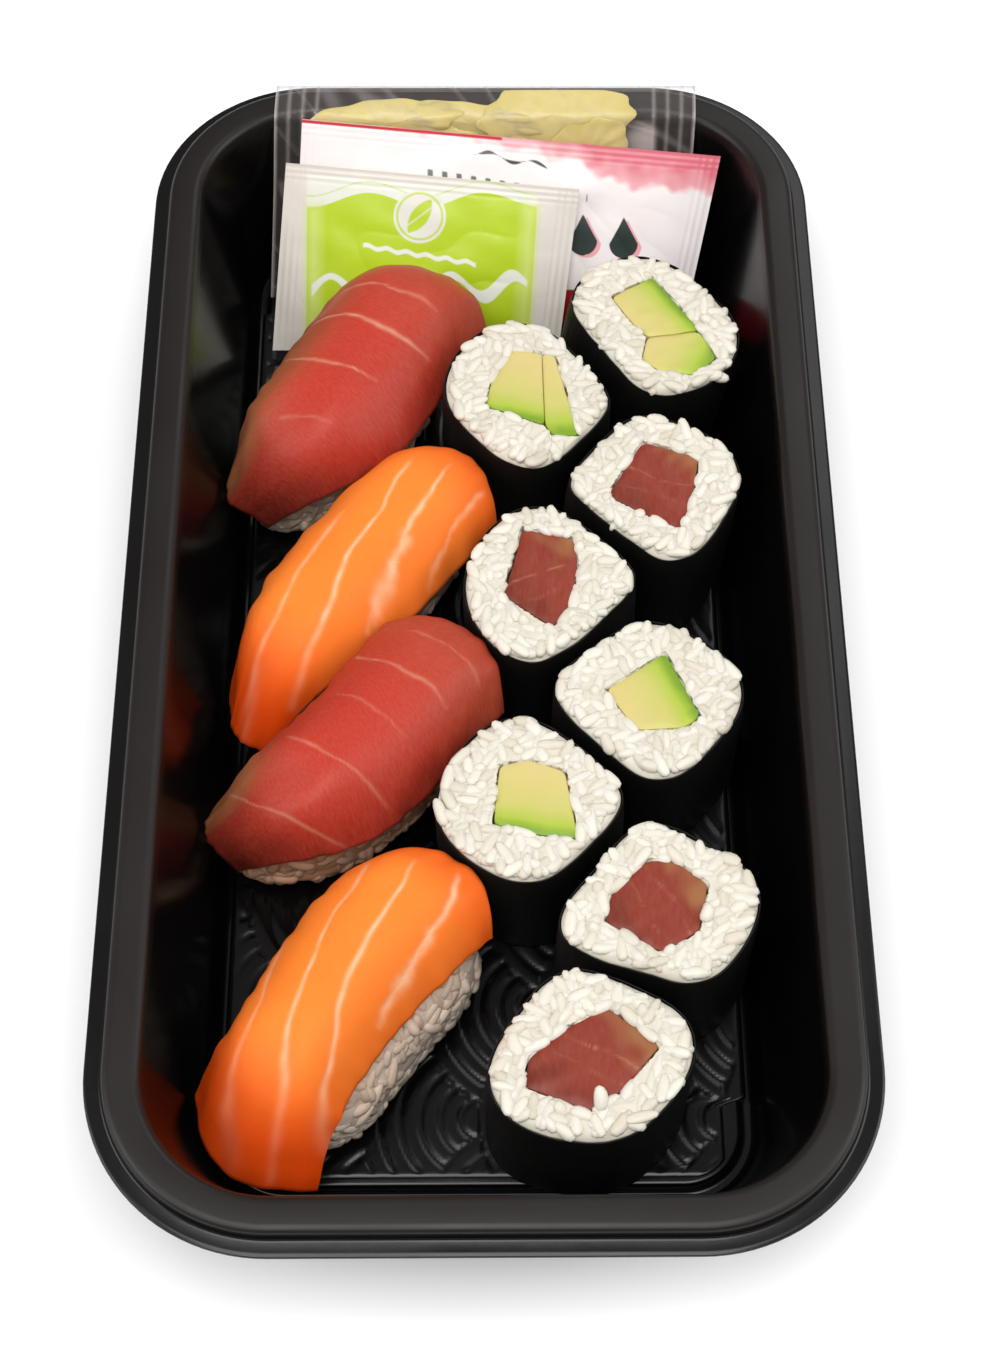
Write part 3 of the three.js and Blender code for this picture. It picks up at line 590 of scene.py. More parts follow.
def raw_fish(name):
    """Sliced raw fish: moist and slightly see-through. The mark `line` draws the sinew, `pale`
    lightens thin edges and `deep` lays painted shade where the slice curves under and at its
    low end (in the rolls it darkens the cut tuna towards one side); fine fibres run over all,
    drawn coarser than life so that they show."""
    fish = RAW_FISH[name]
    material, add, place = new_material(name)
    line, pale, deep, along, across = (
        add("Attribute", {}, "Fac", attribute_name=mark)
        for mark in ("line", "pale", "deep", "along", "across"))
    fibres = add("TexNoise", {
        "Vector": add("CombineXYZ", {0: along, 1: across}), "Scale": fish["fibre_scale"],
        "Detail": 6.0, "Roughness": 0.65})
    clouds = add("TexNoise", {"Vector": place, "Scale": 0.095 / MM, "Detail": 3.0})
    grain = add("MapRange", {
        "Value": fibres, "From Min": 0.35, "From Max": 0.75, "To Max": fish["fibre_share"]})
    # The `deep` layer lays painted shade on the slices.
    layers = [
        (clouds, fish["flesh"][1]), (deep, fish["deep"]), (pale, fish["pale"]),
        (grain, fish["line"]), (line, fish["line"])]
    return finished(
        material, add, linear(fish["flesh"][0]), layers, (0.18, 0.3, fibres), {
            "Roughness": fish["wet"], "Specular IOR Level": fish["shine"], "IOR": 1.38,
            "Subsurface Weight": 0.25, "Subsurface Radius": (1.0, 0.35, 0.2),
            "Subsurface Scale": 1.8 * MM})


def avocado_flesh():
    """Cut ripe avocado: buttery yellow at the stone's side, bright green next to the skin, with
    a border that wanders."""
    material, add, place = new_material("avocado_flesh")
    green = add("Attribute", {}, "Fac", attribute_name="green")
    cloud = add("TexNoise", {"Vector": place, "Scale": 0.24 / MM, "Detail": 4.0})
    wander = add("Math", {0: cloud, 1: 0.16, 2: green}, operation="MULTIPLY_ADD")
    flesh = add("ValToRGB", {0: wander}, stops=(
        (0.1, "#d1c07c"), (1.0, "#76991c"), (0.58, "#c4be6a"), (0.84, "#a8bb40")))
    return finished(
        material, add, flesh, [], (0.15, 0.3, cloud), {
            "Roughness": 0.42, "IOR": 1.42, "Subsurface Weight": 0.25,
            "Subsurface Radius": (1.0, 0.9, 0.3), "Subsurface Scale": 1.2 * MM})


def printed_film(name, paper, inks):
    """Printed polyester film, glossy and faintly wrinkled. Each ink is a mark, its colour and
    how soft its edge is in millimetres; a mark is the distance inside the printed shape."""
    material, add, place = new_material(name)
    wrinkles = add("TexNoise", {"Vector": place, "Scale": 0.13 / MM, "Detail": 3.0})
    layers = [(wrinkles, paper[1])]
    for mark, colour, soft in inks:
        inside = add("Attribute", {}, "Fac", attribute_name=mark)
        inked = add("MapRange", {"Value": inside, "From Min": -soft, "From Max": soft})
        layers.append((inked, colour))
    return finished(
        material, add, linear(paper[0]), layers, (0.3, 0.6, wrinkles),
        {"Roughness": 0.3, "IOR": 1.5})


def clear_film():
    """Clear laminated film: nearly unseen where it lies smooth, milky along creases and in its
    crimped seals, with a sharp shine. One mark gives how much of it shows: the milky film, and
    whitish patches that are painted shine."""
    material, add, place = new_material("clear_laminated_film")
    milky = add("Attribute", {}, "Fac", attribute_name="milky")
    wrinkles = add("TexNoise", {"Vector": place, "Scale": 0.21 / MM, "Detail": 4.0})
    return finished(
        material, add, linear("#b9a796"), [(wrinkles, "#d6d2d6")], (0.5, 0.6, wrinkles),
        {"Roughness": 0.16, "IOR": 1.5, "Alpha": milky})


def pickled_ginger():
    """Pickled ginger shaved across the root: pale yellow, wet and see-through at its thin
    edges, with short fibres."""
    material, add, place = new_material("pickled_ginger")
    fibres = add("TexNoise", {"Vector": place, "Scale": 0.42 / MM, "Detail": 5.0})
    thin = add("Attribute", {}, "Fac", attribute_name="thin")
    return finished(
        material, add, linear("#cdb968"), [(fibres, "#dfcf96"), (thin, "#d4bd70")],
        (0.3, 0.4, fibres), {
            "Roughness": 0.3, "IOR": 1.4, "Subsurface Weight": 0.3,
            "Subsurface Radius": (1.0, 0.8, 0.3), "Subsurface Scale": 1.0 * MM})


# ------------------------------------------------------------------ tray


def tray_ring(inset):
    """A rounded rectangle `inset` inside the tray's edge: four quarter circles joined by
    straight sides, with points shared out in the same way for every inset."""
    radius = TRAY["corner"] - inset
    half = np.array([TRAY["width"], TRAY["length"]]) / 2 - TRAY["corner"]
    centres = half * np.array([(1, 1), (-1, 1), (-1, -1), (1, -1)])
    parts = []
    for k in range(4):
        angle = np.radians(90 * k + np.linspace(0, 90, TRAY["corner_steps"] + 1))
        arc = centres[k] + radius * direction(angle)
        end = centres[(k + 1) % 4] + radius * direction(angle[-1])
        share = np.linspace(0, 1, TRAY["side_steps"][k % 2] + 1)[1:-1, None]
        parts += [arc, arc[-1] + (end - arc[-1]) * share]
    return np.concatenate(parts)


def tray_profile():
    """The wall's section as (inset, z), from under the floor panel's edge up the inside, over
    the rim and down the outside to the underside of the panel, with small rounded corners."""
    lean = np.tan(np.radians(TRAY["draft"]))
    edge, sheet, rim, height = (TRAY[name] for name in ("edge", "sheet", "rim_inner", "height"))
    flange, floor, panel_top = (
        TRAY[name] for name in ("flange_width", "gutter_floor", "panel_top"))
    flange_top = height - TRAY["flange_drop"]
    wall_top = (rim + edge, height - edge)
    wall_foot = (wall_top[0] + (wall_top[1] - floor - 1) * lean, floor + 1)
    gutter = wall_foot[0] + edge
    panel = gutter + TRAY["gutter_width"]
    tucked, lip = panel_top - 0.25, 0.3
    upper = [
        (panel + 1.5, tucked), (panel, tucked), (panel - edge, floor), (gutter, floor),
        wall_foot, wall_top, (rim - lip, height), (flange + 2 * edge, height),
        (flange + lip, height - 0.5), (flange + 0.1, flange_top), (lip, flange_top),
        (0, flange_top - lip),
    ]
    lower = [
        (0, flange_top - sheet), (flange + sheet, flange_top - sheet),
        (flange + sheet + edge, height - sheet), (rim - edge, height - sheet),
        (wall_top[0] - sheet, wall_top[1] - sheet / 2), (wall_foot[0] - sheet, wall_foot[1]),
        (gutter - edge, 0), (panel + 0.2, 0), (panel + sheet, panel_top - 1),
        (panel + 1.5, panel_top - 1),
    ]
    return rounded_path(upper + lower, 0.5, 3)


def wave_emboss(x, y):
    """Overlapping fans of rings (the wave pattern of old textiles), open towards -X. Columns
    of circles lie half a radius apart, every second one moved by a radius; the circle furthest
    to +X that covers a point owns it, and its rings are shallow grooves, exp(-(d / groove)^2)
    at a distance d from a ring."""
    radius, spacing, centre = EMBOSS["radius"], EMBOSS["spacing"], EMBOSS["centre"]
    own = np.full(x.shape, np.nan)
    for column in range(12, -13, -1):
        cx = centre[0] + column * radius / 2
        shift = radius if column % 2 else 0
        cy = centre[1] + shift + 2 * radius * np.round((y - centre[1] - shift) / (2 * radius))
        away = np.hypot(x - cx, y - cy)
        own = np.where(np.isnan(own) & (away < radius), away, own)
    own = np.nan_to_num(own, nan=radius)
    from_ring = np.abs((own - radius) / spacing - np.round((own - radius) / spacing)) * spacing
    return -np.exp(-((from_ring / EMBOSS["groove"]) ** 2)) * (own > 0.75 * spacing)


def floor_panel(step, depth):
    """The raised floor: a grid whose rows narrow towards rounded ends, with the wave emboss,
    which fades out near the edge, where it drops by a rounded shoulder to its foot, closed
    below by one flat face."""
    half_x, half_y, corner = FLOOR["half_x"], FLOOR["half_y"], FLOOR["corner"]
    rows, columns = int(2 * half_y / step), int(2 * half_x / step)
    v = np.linspace(-half_y, half_y, rows)[:, None]
    u = np.linspace(-1, 1, columns)[None]
    past = np.clip(np.abs(v) - (half_y - corner), 0, corner)
    notch = FLOOR["notch"] * smooth_step(np.abs(v), *FLOOR["notch_span"])
    width = half_x - np.maximum(notch, corner - np.sqrt(corner**2 - past**2) + 0.55 * notch)
    x, y = u * width, v + 0 * u
    to_edge = np.minimum(width - np.abs(x), half_y - np.abs(y))
    relief = wave_emboss(x, y) * smooth_step(to_edge, 0.8, 2.2)
    shoulder = 0.5 * (1 - smooth_step(to_edge, 0, 0.9)) ** 2
    z = TRAY["panel_top"] + depth * relief - shoulder
    top = np.stack([x, y, z], -1).reshape(-1, 3)
    edge = border_loop(rows, columns)
    points = np.concatenate([top, at_height(top[edge, :2], TRAY["gutter_floor"] - 0.1)])
    low = rows * columns + np.arange(len(edge))
    wall = np.stack([edge, low, np.roll(low, -1), np.roll(edge, -1)], -1)
    return points, turned_out(points, [grid_faces(rows, columns), wall, low[None, ::-1]]), {}


def tray_shell():
    """The formed sheet: every point of the wall's section carried round the rounded
    rectangle."""
    return ring_solid([at_height(tray_ring(inset), z) for inset, z in tray_profile()])


# ------------------------------------------------------------------ rice


def grain_solid(centres, axis, side, size, tint):
    """Many rice grains as one solid. A grain is a spindle, x = t * length / 2 with a radius of
    (1 - |t|^2.6)^0.5, a little thinner at one end and bent by a share of t^2; x runs along its
    axis, y along its side and z square to both."""
    rings, sides = 5, 8
    blunt, taper, bend, last_ring = 2.6, 0.12, 0.16, 0.93
    t = np.sin(np.linspace(-1, 1, rings + 2)[1:-1] * np.pi / 2 * last_ring)
    radius = (1 - np.abs(t) ** blunt) ** 0.5 * (1 - taper * t)
    across, up = (np.outer(radius, part).ravel() for part in direction(full_turn(sides)).T)
    body = np.column_stack([np.repeat(t, sides), across + np.repeat(bend * t**2, sides), up])
    base = np.concatenate([body, [[-1, bend, 0], [1, bend, 0]]])
    number = np.arange(sides)
    ahead = np.roll(number, -1)
    last = (rings - 1) * sides
    first_pole = np.full(sides, rings * sides)
    tips = np.concatenate([
        np.stack([first_pole, ahead, number], -1),
        np.stack([first_pole + 1, number + last, ahead + last], -1)])
    quads = grid_faces(rings, sides, wrap=True)
    frames = np.stack([axis, side, np.cross(axis, side)], 1) * (size / 2)[:, :, None]
    points = (np.einsum("pk,nkc->npc", base, frames) + centres[:, None]).reshape(-1, 3)
    start = np.arange(len(centres))[:, None, None] * len(base)
    faces = [(quads + start).reshape(-1, 4), (tips + start).reshape(-1, 3)]
    return points, turned_out(points, faces), {"tint": np.repeat(tint, len(base))}


def grain_frame(turn, tip, roll):
    """Axis and side of grains lying along `turn`, tipped up by `tip` and rolled by `roll`."""
    axis = np.stack([np.cos(tip) * np.cos(turn), np.cos(tip) * np.sin(turn), np.sin(tip)], -1)
    level = np.stack([-np.sin(turn), np.cos(turn), 0 * turn], -1)
    return axis, level * np.cos(roll)[:, None] + np.cross(axis, level) * np.sin(roll)[:, None]


def grain_sizes(settings, count, random):
    """Length, width and thickness of grains, each a little different."""
    length, width = settings.grain_length / MM, settings.grain_width / MM
    return np.column_stack([
        length * random.uniform(0.78, 1.12, count), width * random.uniform(0.9, 1.12, count),
        width * random.uniform(0.82, 1.0, count)])


def roll_radius(index, angle, grow=0.0):
    """Radius of a roll's rice at an angle: mean radius times one plus its lobes' cosines, cut
    softly where it presses on the roll before and the roll after."""
    x, y, *_, lean = ROLLS[index]

    def free(roll, a):
        swell = sum(
            share * np.cos((k + 2) * (a - np.radians(way)))
            for k, (share, way) in enumerate(roll[3]))
        return roll[2] * (1 + swell)

    def reach(roll, way):
        off = np.radians(np.arange(-90, 91, 3))
        return np.max(free(roll, way + off) * np.cos(off))

    result = free(ROLLS[index], angle)
    power = -ROLL["flatness"]
    for k in (index - 1, index + 1):
        if not 0 <= k < len(ROLLS):
            continue
        other = ROLLS[k]
        way = np.arctan2(other[1] - y, other[0] - x)
        share = (reach(ROLLS[index], way) - reach(other, way + np.pi)) / 2
        leans = np.hypot(lean[0] - other[4][0], lean[1] - other[4][1]) / 2
        limit = np.hypot(other[0] - x, other[1] - y) / 2 + share
        limit -= ROLL["skin"] + ROLL["skin_gap"] + GAP / 2 + leans
        facing = np.cos(angle - way)
        cut = (result**power + (limit / np.maximum(facing, 1e-3)) ** power) ** (1 / power)
        result = np.where(facing > 0, cut, result)
    return result + grow


def leaned(solid, index):
    """A solid made about a roll's middle, sheared by its lean and moved to where it stands."""
    points, *rest = solid
    x, y, *_, lean = ROLLS[index]
    share = (points[:, 2] - ROLL["face"]) / (ROLL["face"] - TRAY["panel_top"])
    moved = points.copy()
    moved[:, 0] += x + lean[0] * share
    moved[:, 1] += y + lean[1] * share
    return moved, *rest


def hull(points):
    """The outermost points, anticlockwise."""
    points = points[np.lexsort((points[:, 1], points[:, 0]))]

    def half(chain_points):
        chain = []
        for p in chain_points:
            while len(chain) > 1:
                a, b = chain[-1] - chain[-2], p - chain[-2]
                if a[0] * b[1] - a[1] * b[0] > 0:
                    break
                chain.pop()
            chain.append(p)
        return chain[:-1]

    return np.array(half(points) + half(points[::-1]))


def outside(outlines, x, y):
    """How far points lie outside the nearest of some convex anticlockwise outlines (negative
    inside it), and the way out."""
    result = None
    for outline in outlines:
        side = unit(np.roll(outline, -1, 0) - outline)
        off_x, off_y = x[..., None] - outline[:, 0], y[..., None] - outline[:, 1]
        away = off_x * side[:, 1] - off_y * side[:, 0]
        nearest = np.argmax(away, -1)
        found = np.stack([away.max(-1), side[nearest, 1], -side[nearest, 0]])
        result = found if result is None else np.where(found[0] < result[0], found, result)
    return result


def roll_core(index, hole):
    """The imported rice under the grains: rings that run up the outside, in over a dimpled top
    whose shoulder falls by exp(-7 * share of the way in), and down the side of the filling's
    channel."""
    top, shoulder, dimple = ROLL["face"] - 0.22, 1.4, 0.17
    angle = full_turn(ROLL["steps"])
    way = direction(angle)
    outer = roll_radius(index, angle)[:, None] * way
    near = np.linspace(0.5, 16, 64)
    grown = outside(hole, way[:, 0, None] * near, way[:, 1, None] * near)[0]
    inner = near[np.argmax(grown > GAP, axis=1)][:, None] * way
    rings = [at_height(outer, z) for z in (FOOT, FOOT + 4, FOOT + 12, top - 2.4, top - shoulder)]
    for share in np.linspace(0, 1, 34):
        flat = outer * (1 - share) + inner * share
        lift = dimple * waves(*flat.T, 2.2, 40 + index, 10)
        rings.append(at_height(flat, top + lift - shoulder * np.exp(-7 * share)))
    rings += [at_height(inner, z) for z in (top - 1.5, FOOT + 8, FOOT)]
    # The core shows only between the grains; its low tone is painted shade there.
    return leaned(ring_solid(rings, closed=True, tint=0.15), index)


def face_grains(index, hole, seed, spacing, settings, deep):
    """Grains on a roll's cut face, or `deep` under it: a jittered honeycomb of places, each
    grain lying along the edge near the filling and anyhow elsewhere, a few steep. Both ends and
    the middle of each are pushed clear of the filling, in turn and five times over, and kept
    from reaching more than a little over the sheet. What stands above the cut is pressed down
    to a third of its height."""
    random = np.random.default_rng(seed)
    cells, shift, jitter, row_height = np.arange(-10, 11), 0.3, 0.34, 0.87
    row, column = np.meshgrid(cells, cells, indexing="ij")
    x = (column + 0.5 * (row % 2)).ravel() * spacing + random.uniform(-shift, shift) * spacing
    y = row.ravel() * spacing * row_height + random.uniform(-shift, shift) * spacing
    x = x + random.uniform(-jitter, jitter, x.shape) * spacing
    y = y + random.uniform(-jitter, jitter, y.shape) * spacing
    # In millimetres: how far past the rice's edge a grain's middle may be, how far it is from
    # the filling, within what distance grains lie along the filling, and how far inside the
    # rice's edge the steep ones are.
    past_rim, off_filling, beside, inside = 0.4, 0.3, 1.4, 3
    rim = roll_radius(index, np.arctan2(y, x)) - np.hypot(x, y)
    gap, gap_x, gap_y = outside(hole, x, y)
    keep = (rim > -past_rim) & (gap > off_filling)
    x, y, rim, gap, gap_x, gap_y = (a[keep] for a in (x, y, rim, gap, gap_x, gap_y))
    count = len(x)
    free = random.uniform(0, np.pi, count)
    along_gap = np.arctan2(gap_y, gap_x) + np.pi / 2 + random.normal(0, 0.35, count)
    turn = np.where(gap < beside, along_gap, free)
    tip = random.normal(0, 0.16, count)
    steep_share, steep_tips = 0.14, (0.7, 1.3)
    steep = (random.uniform(size=count) < steep_share) & (rim > inside)
    tip = np.where(steep, random.uniform(*steep_tips, count), tip)
    size = grain_sizes(settings, count, random)
    width = settings.grain_width / MM
    room_outside, room_inside = 0.42 * width, 0.18 * width
    half = size[:, 0] / 2 * np.abs(np.cos(tip))
    on_top = deep == 0
    over_sheet = random.uniform(0.1, 1.05, count) * on_top
    for _ in range(5):
        for sign in (-0.85, 0, 0.85):
            end_x, end_y = x + sign * half * np.cos(turn), y + sign * half * np.sin(turn)
            away = np.hypot(end_x, end_y)
            limit = roll_radius(index, np.arctan2(end_y, end_x)) + over_sheet
            over = np.maximum(away + room_outside - limit, 0)
            x, y = x - over * end_x / away, y - over * end_y / away
            into, out_x, out_y = outside(hole, end_x, end_y)
            push = np.maximum(room_inside - into, 0)
            x, y = x + push * out_x, y + push * out_y
    sunk = (0.42 - 0.08 * (rim < 2)) * size[:, 2]
    z = ROLL["face"] - deep - sunk + random.normal(0, 0.16, count) - 0.12 * half * steep
    # Each grain has a tone of its own; the lower layer is held at half, painted shade between the
    # upper grains.
    tint = random.uniform(0, 1, count) * (1 if on_top else 0.5)
    axis, side = grain_frame(turn, tip, random.uniform(0, np.pi, count))
    points, faces, marks = grain_solid(np.column_stack([x, y, z]), axis, side, size, tint)
    cut = ROLL["face"] + 0.1 + 0.25 * waves(points[:, 0], points[:, 1], 6, seed)
    points[:, 2] = np.where(points[:, 2] > cut, cut + (points[:, 2] - cut) / 3, points[:, 2])
    return leaned((points, faces, marks), index)


def loose_grains(index, places, settings):
    """Grains that lie loose on top of a roll, sunk in by a third of their height."""
    random = np.random.default_rng(700 + index)
    x, y, turn, tip = np.array(places, float).T
    turn, tip = np.radians(turn), np.radians(tip)
    size = grain_sizes(settings, len(x), random) * (0.8, 1, 1)
    rise = size[:, 0] / 2 * np.sin(tip) + size[:, 2] / 2 * np.cos(tip)
    centres = np.column_stack([x, y, ROLL["face"] + 0.35 * rise])
    axis, side = grain_frame(turn, tip, 0 * turn)
    return grain_solid(centres, axis, side, size, np.full(len(x), 0.9))


def roll_rice(index, settings):
    """Core and two layers of grains of one roll, the lower one 0.8 mm deep."""
    hole = [hull(np.array(outline, float)) for outline, *_ in FILLINGS[index].values()]
    solids = [
        roll_core(index, hole),
        face_grains(index, hole, 300 + index, 2.35, settings, 0.8),
        face_grains(index, hole, 200 + index, 2.3, settings, 0),
    ]
    if index in LOOSE:
        solids.append(loose_grains(index, LOOSE[index], settings))
    return joined(solids)


def roll_skin(index):
    """The sheet of nori: a ring that thins to a slightly ragged upper edge under the grains,
    with the overlap of the sheet showing as a low step."""
    angle = full_turn(ROLL["steps"])
    way = direction(angle)
    inner = roll_radius(index, angle, ROLL["skin_gap"])[:, None] * way
    lap = 0.12 * smooth_step(np.cos(angle - 1.9 - index), 0.9, 0.93)
    crinkle = 0.04 * np.sin(angle * 37 + index) * np.sin(angle * 11)
    thick = ROLL["skin"] + lap + crinkle
    outer = roll_radius(index, angle, ROLL["skin_gap"] + thick)[:, None] * way
    top = ROLL["face"] - ROLL["nori_below"]
    ragged = top + 0.22 * np.sin(angle * 9 + index) * np.sin(angle * 4) - 0.45
    heights = np.linspace(0, 1, 12)
    rings = [(outer + (inner - outer) * 0.55 * h**14, h) for h in heights]
    rings += [(inner, h) for h in heights[::-1]]
    rings = [at_height(flat, FOOT + (ragged - FOOT) * h) for flat, h in rings]
    return leaned(ring_solid(rings, closed=True), index)


def roll_filling(index, outline, way, power, kind):
    """A stick of filling: its rounded outline carried up, and its cut face as shrinking rings
    that rise and dip a little. The mark `green` grows from 0 to 1 across it along `way`, as
    the share of the way to a power; `line` draws two sinews across tuna."""
    path = resampled(rounded_path(outline, 0.9, 4, closed=True), 96)
    tangent = np.roll(path, -1, 0) - np.roll(path, 1, 0)
    out = unit(np.stack([tangent[:, 1], -tangent[:, 0]], -1))
    middle = path.mean(0)
    path = path + 0.12 * out * np.sign(np.einsum("ij,ij->", out, path - middle))
    top = ROLL["face"] - (0.1 if kind == "avocado" else 0.3)
    rings = [at_height(path, z) for z in (FOOT, FOOT + 8, top - 2, top - 0.5)]
    for share in 1 - np.linspace(0, 1, 16)[:-1] ** 1.3:
        flat = middle + (path - middle) * (share - 0.02 if share < 1 else 1 - 0.012)
        lift = 0.1 * waves(*flat.T, 4.0, 70 + index)
        rings.append(at_height(flat, top + lift - 0.28 * share**12))
    points, faces, _ = ring_solid(rings)
    x, y, _ = points.T
    share = points[:, :2] @ direction(np.radians(way))
    green = ((share - share.min()) / (share.max() - share.min())) ** power
    drift = points[:, :2] @ direction(np.radians(way + 50 + 37 * np.sin(5 * index)))
    drift = drift + 0.9 * waves(x, y, 12, 20 + index)
    line = 0.5 * np.exp(-(((drift - 1.2) / 0.16) ** 2))
    line = line + 0.25 * np.exp(-(((drift + 2.6) / 0.13) ** 2))
    patchy = waves(x, y, 4, 7 + index)
    marks = {
        "green": green, "along": x, "across": y * 0.3, "line": line * np.clip(0.7 + patchy, 0, 1),
        "pale": 0.85 * smooth_step(green + 0.1 * patchy, 0.68, 1.0),
        "deep": 0.6 * smooth_step(-green + 0.12 * patchy, -0.4, 0),
    }
    return leaned((points, faces, marks), index)


# ------------------------------------------------------------------ nigiri


def plan_point(piece, u, v):
    """Plan position on a slice: u from the low end (-1) to the high end (1), v from left (-1)
    to right (1). The four corners are blended and each side bows outward by 4s(1 - s)."""
    low_left, low_right, high_right, high_left = (np.array(c, float) for c in piece["corners"])
    s, t = ((u + 1) / 2)[..., None], ((v + 1) / 2)[..., None]
    low = low_left + (low_right - low_left) * t
    high = high_left + (high_right - high_left) * t

    def bowed(name, start, end, share):
        way = end - start
        out = np.array([way[1], -way[0]]) / np.hypot(*way)
        return out * piece["bow"][name] * share

    skew = piece["skew"]
    along, across, u = 4 * s * (1 - s), 4 * t * (1 - t), u[..., None]
    point = low + (high - low) * s
    point = point + bowed("right", low_right, high_right, along) * (1 - skew["right"] * u) * t
    point = point + bowed("left", high_left, low_left, along) * (1 - skew["left"] * u) * (1 - t)
    point = point + bowed("low", low_left, low_right, across) * (1 - s)
    return point + bowed("high", high_right, high_left, across) * s


def crest_height(piece, u, v):
    """Height of a slice's upper face: a crest that droops to each end and each side, by a drop
    times a power of u or v; the two are added as the sides of a right angle."""
    droop = piece["droop"]
    low = FISH["drop_low"] * np.clip(-u, 0, None) ** FISH["power_low"]
    high = droop["high"] * np.clip(u, 0, None) ** FISH["power_high"]
    drop = np.where(v < 0, droop["left"], FISH["drop_right"])
    return FISH["crest"] - np.hypot(low + high, drop * np.abs(v) ** FISH["power_side"])


def upper_face(piece, u, v):
    """The slice's upper face, its corners pulled in by half the corner pull."""
    pull = FISH["corner_pull"] / 2
    flat = plan_point(piece, u * (1 - pull * v * v), v * (1 - pull * u * u))
    return np.concatenate([flat, crest_height(piece, u, v)[..., None]], -1)


def face_normal(piece, u, v):
    """Upward normal of the upper face, from differences along u and v."""
    step = 0.02
    along = upper_face(piece, u + step, v) - upper_face(piece, u - step, v)
    across = upper_face(piece, u, v + step) - upper_face(piece, u, v - step)
    normal = unit(np.cross(along, across))
    return normal * np.sign(normal[..., 2:])


def slice_depth(u, v):
    """Thickness, thinner towards the rim of the slice by the fourth power of u or v."""
    edge = np.minimum(1, np.maximum(u * u, v * v))
    return FISH["thick"] + (FISH["thick_edge"] - FISH["thick"]) * edge**2


def line_marks(piece, index, u, v):
    """Strength of a slice's fat and sinew lines: each is a smooth curve through its points with
    a soft edge, exp(-(distance / half width)^2), broken up by noise and fading at both ends;
    salmon's broaden into faint bands towards the low end."""
    total = np.zeros_like(u)
    half_length, half_width = FISH["half_slice"]
    x, y = u * half_length, v * half_width
    fine = np.linspace(0, 1, 240)
    band = smooth_step(-u, 0.25, 0.85) * (piece["fish"] == "salmon")
    for k, (width, strength, points) in enumerate(piece["lines"]):
        path = smooth_curve(points, len(fine)) * FISH["half_slice"]
        wobble = 0.14 * np.sin(fine * 17 + k) + 0.06 * np.sin(fine * 53 + 3 * k)
        apart = np.hypot(x[..., None] - path[:, 0] - wobble, y[..., None] - path[:, 1] - wobble)
        nearest = apart.argmin(-1)
        swell = (1 + 0.3 * np.sin(fine * 9 + 2 * k)[nearest]) * (1 + 2.2 * band)
        ends = (smooth_step(fine, 0, 0.15) * (1 - 0.6 * smooth_step(fine, 0.75, 1)))[nearest]
        line = np.exp(-((apart.min(-1) / (width * swell)) ** 2)) * strength * ends
        total = np.maximum(total, line * (1 - 0.55 * band))
    return total * (0.85 + 0.25 * waves(x, y, 3.4, 80 + index))


def fish_marks(piece, index, u, v, normal):
    """Lines and colours of a slice: `deep` is painted shade, growing as the face turns from
    straight up and at its low end, and on salmon also darker near its long edges; `pale` along
    thin edges."""
    line = line_marks(piece, index, u, v)
    # Painted shade: the further the face turns from straight up, the darker.
    side = 1 - np.clip(normal[..., 2], 0, 1)
    low = smooth_step(-u, 0.55, 1.0)
    if piece["fish"] == "salmon":
        deep = 0.2 * side**1.2 + 0.6 * low + 0.3 * np.abs(v) ** 8
        pale = 0.85 * smooth_step(-u, 0.35, 0.95) + 0.5 * smooth_step(u, 0.6, 1)
    else:
        deep = 0.9 * side**1.3 + 0.25 * low
        brown = smooth_step(0.35 * low - v, 0.1, 0.9) * smooth_step(-u, *piece["brown"])
        tip, end = low * smooth_step(-v, -0.2, 0.7), smooth_step(u, 0.2, 0.9)
        pale = 0.95 * brown + 0.8 * tip + 0.22 * end
    return {
        name: np.clip(values, 0, 1)
        for name, values in (("line", line), ("pale", pale), ("deep", deep))}


def fish_slice(piece, index, rows, columns):
    """A slice of fish: the upper face with shallow furrows along its lines, the lower face one
    thickness in along the normal, and a rounded rim between them."""
    u, v = square_grid(rows, columns)
    normal = face_normal(piece, u, v)
    marks = fish_marks(piece, index, u, v, normal)
    marks |= {"along": u * FISH["half_slice"][0], "across": v * FISH["half_fibre"]}
    furrow = 0.2 if piece["fish"] == "salmon" else 0.08
    edge = np.maximum(np.abs(u), np.abs(v)) ** 5
    x, y = u * FISH["half_ripple"][0], v * FISH["half_ripple"][1]
    swell, ripple, bulge = 0.14, 0.3, 0.45
    lift = swell * waves(x, y, 12, 33 + index) - furrow * marks["line"]
    lift = lift + ripple * edge * waves(x, y, 5, 53 + index)
    face = upper_face(piece, u, v)
    upper = face + normal * lift[..., None]
    lower = face - normal * slice_depth(u, v)[..., None]
    border = border_loop(rows, columns)
    rim = upper.reshape(-1, 3)[border]
    tangent = np.roll(rim, -1, 0) - np.roll(rim, 1, 0)
    out = unit(np.cross(tangent, normal.reshape(-1, 3)[border]))
    out = out * np.sign(np.einsum("ij,ij->i", out, rim - rim.mean(0)))[:, None]
    return slab_solid(upper, lower, marks, bulge=bulge * out)


def rice_outline(piece, inset, angle):
    """(u, v) of the rice's outline at an angle: a rounded rectangle, moved in by the piece's
    rice insets and a further `inset`."""
    block, rice = RICE_BLOCK, piece["rice"]
    c, s = (np.sign(a) * np.abs(a) ** block["roundness"] for a in (np.cos(angle), np.sin(angle)))
    u = c * (1 - (np.where(c < 0, rice["low"], rice["high"]) + inset) / block["half_length"])
    v = s * (1 - (np.where(s < 0, rice["left"], rice["right"]) + inset) / block["half_width"])
    return u, v


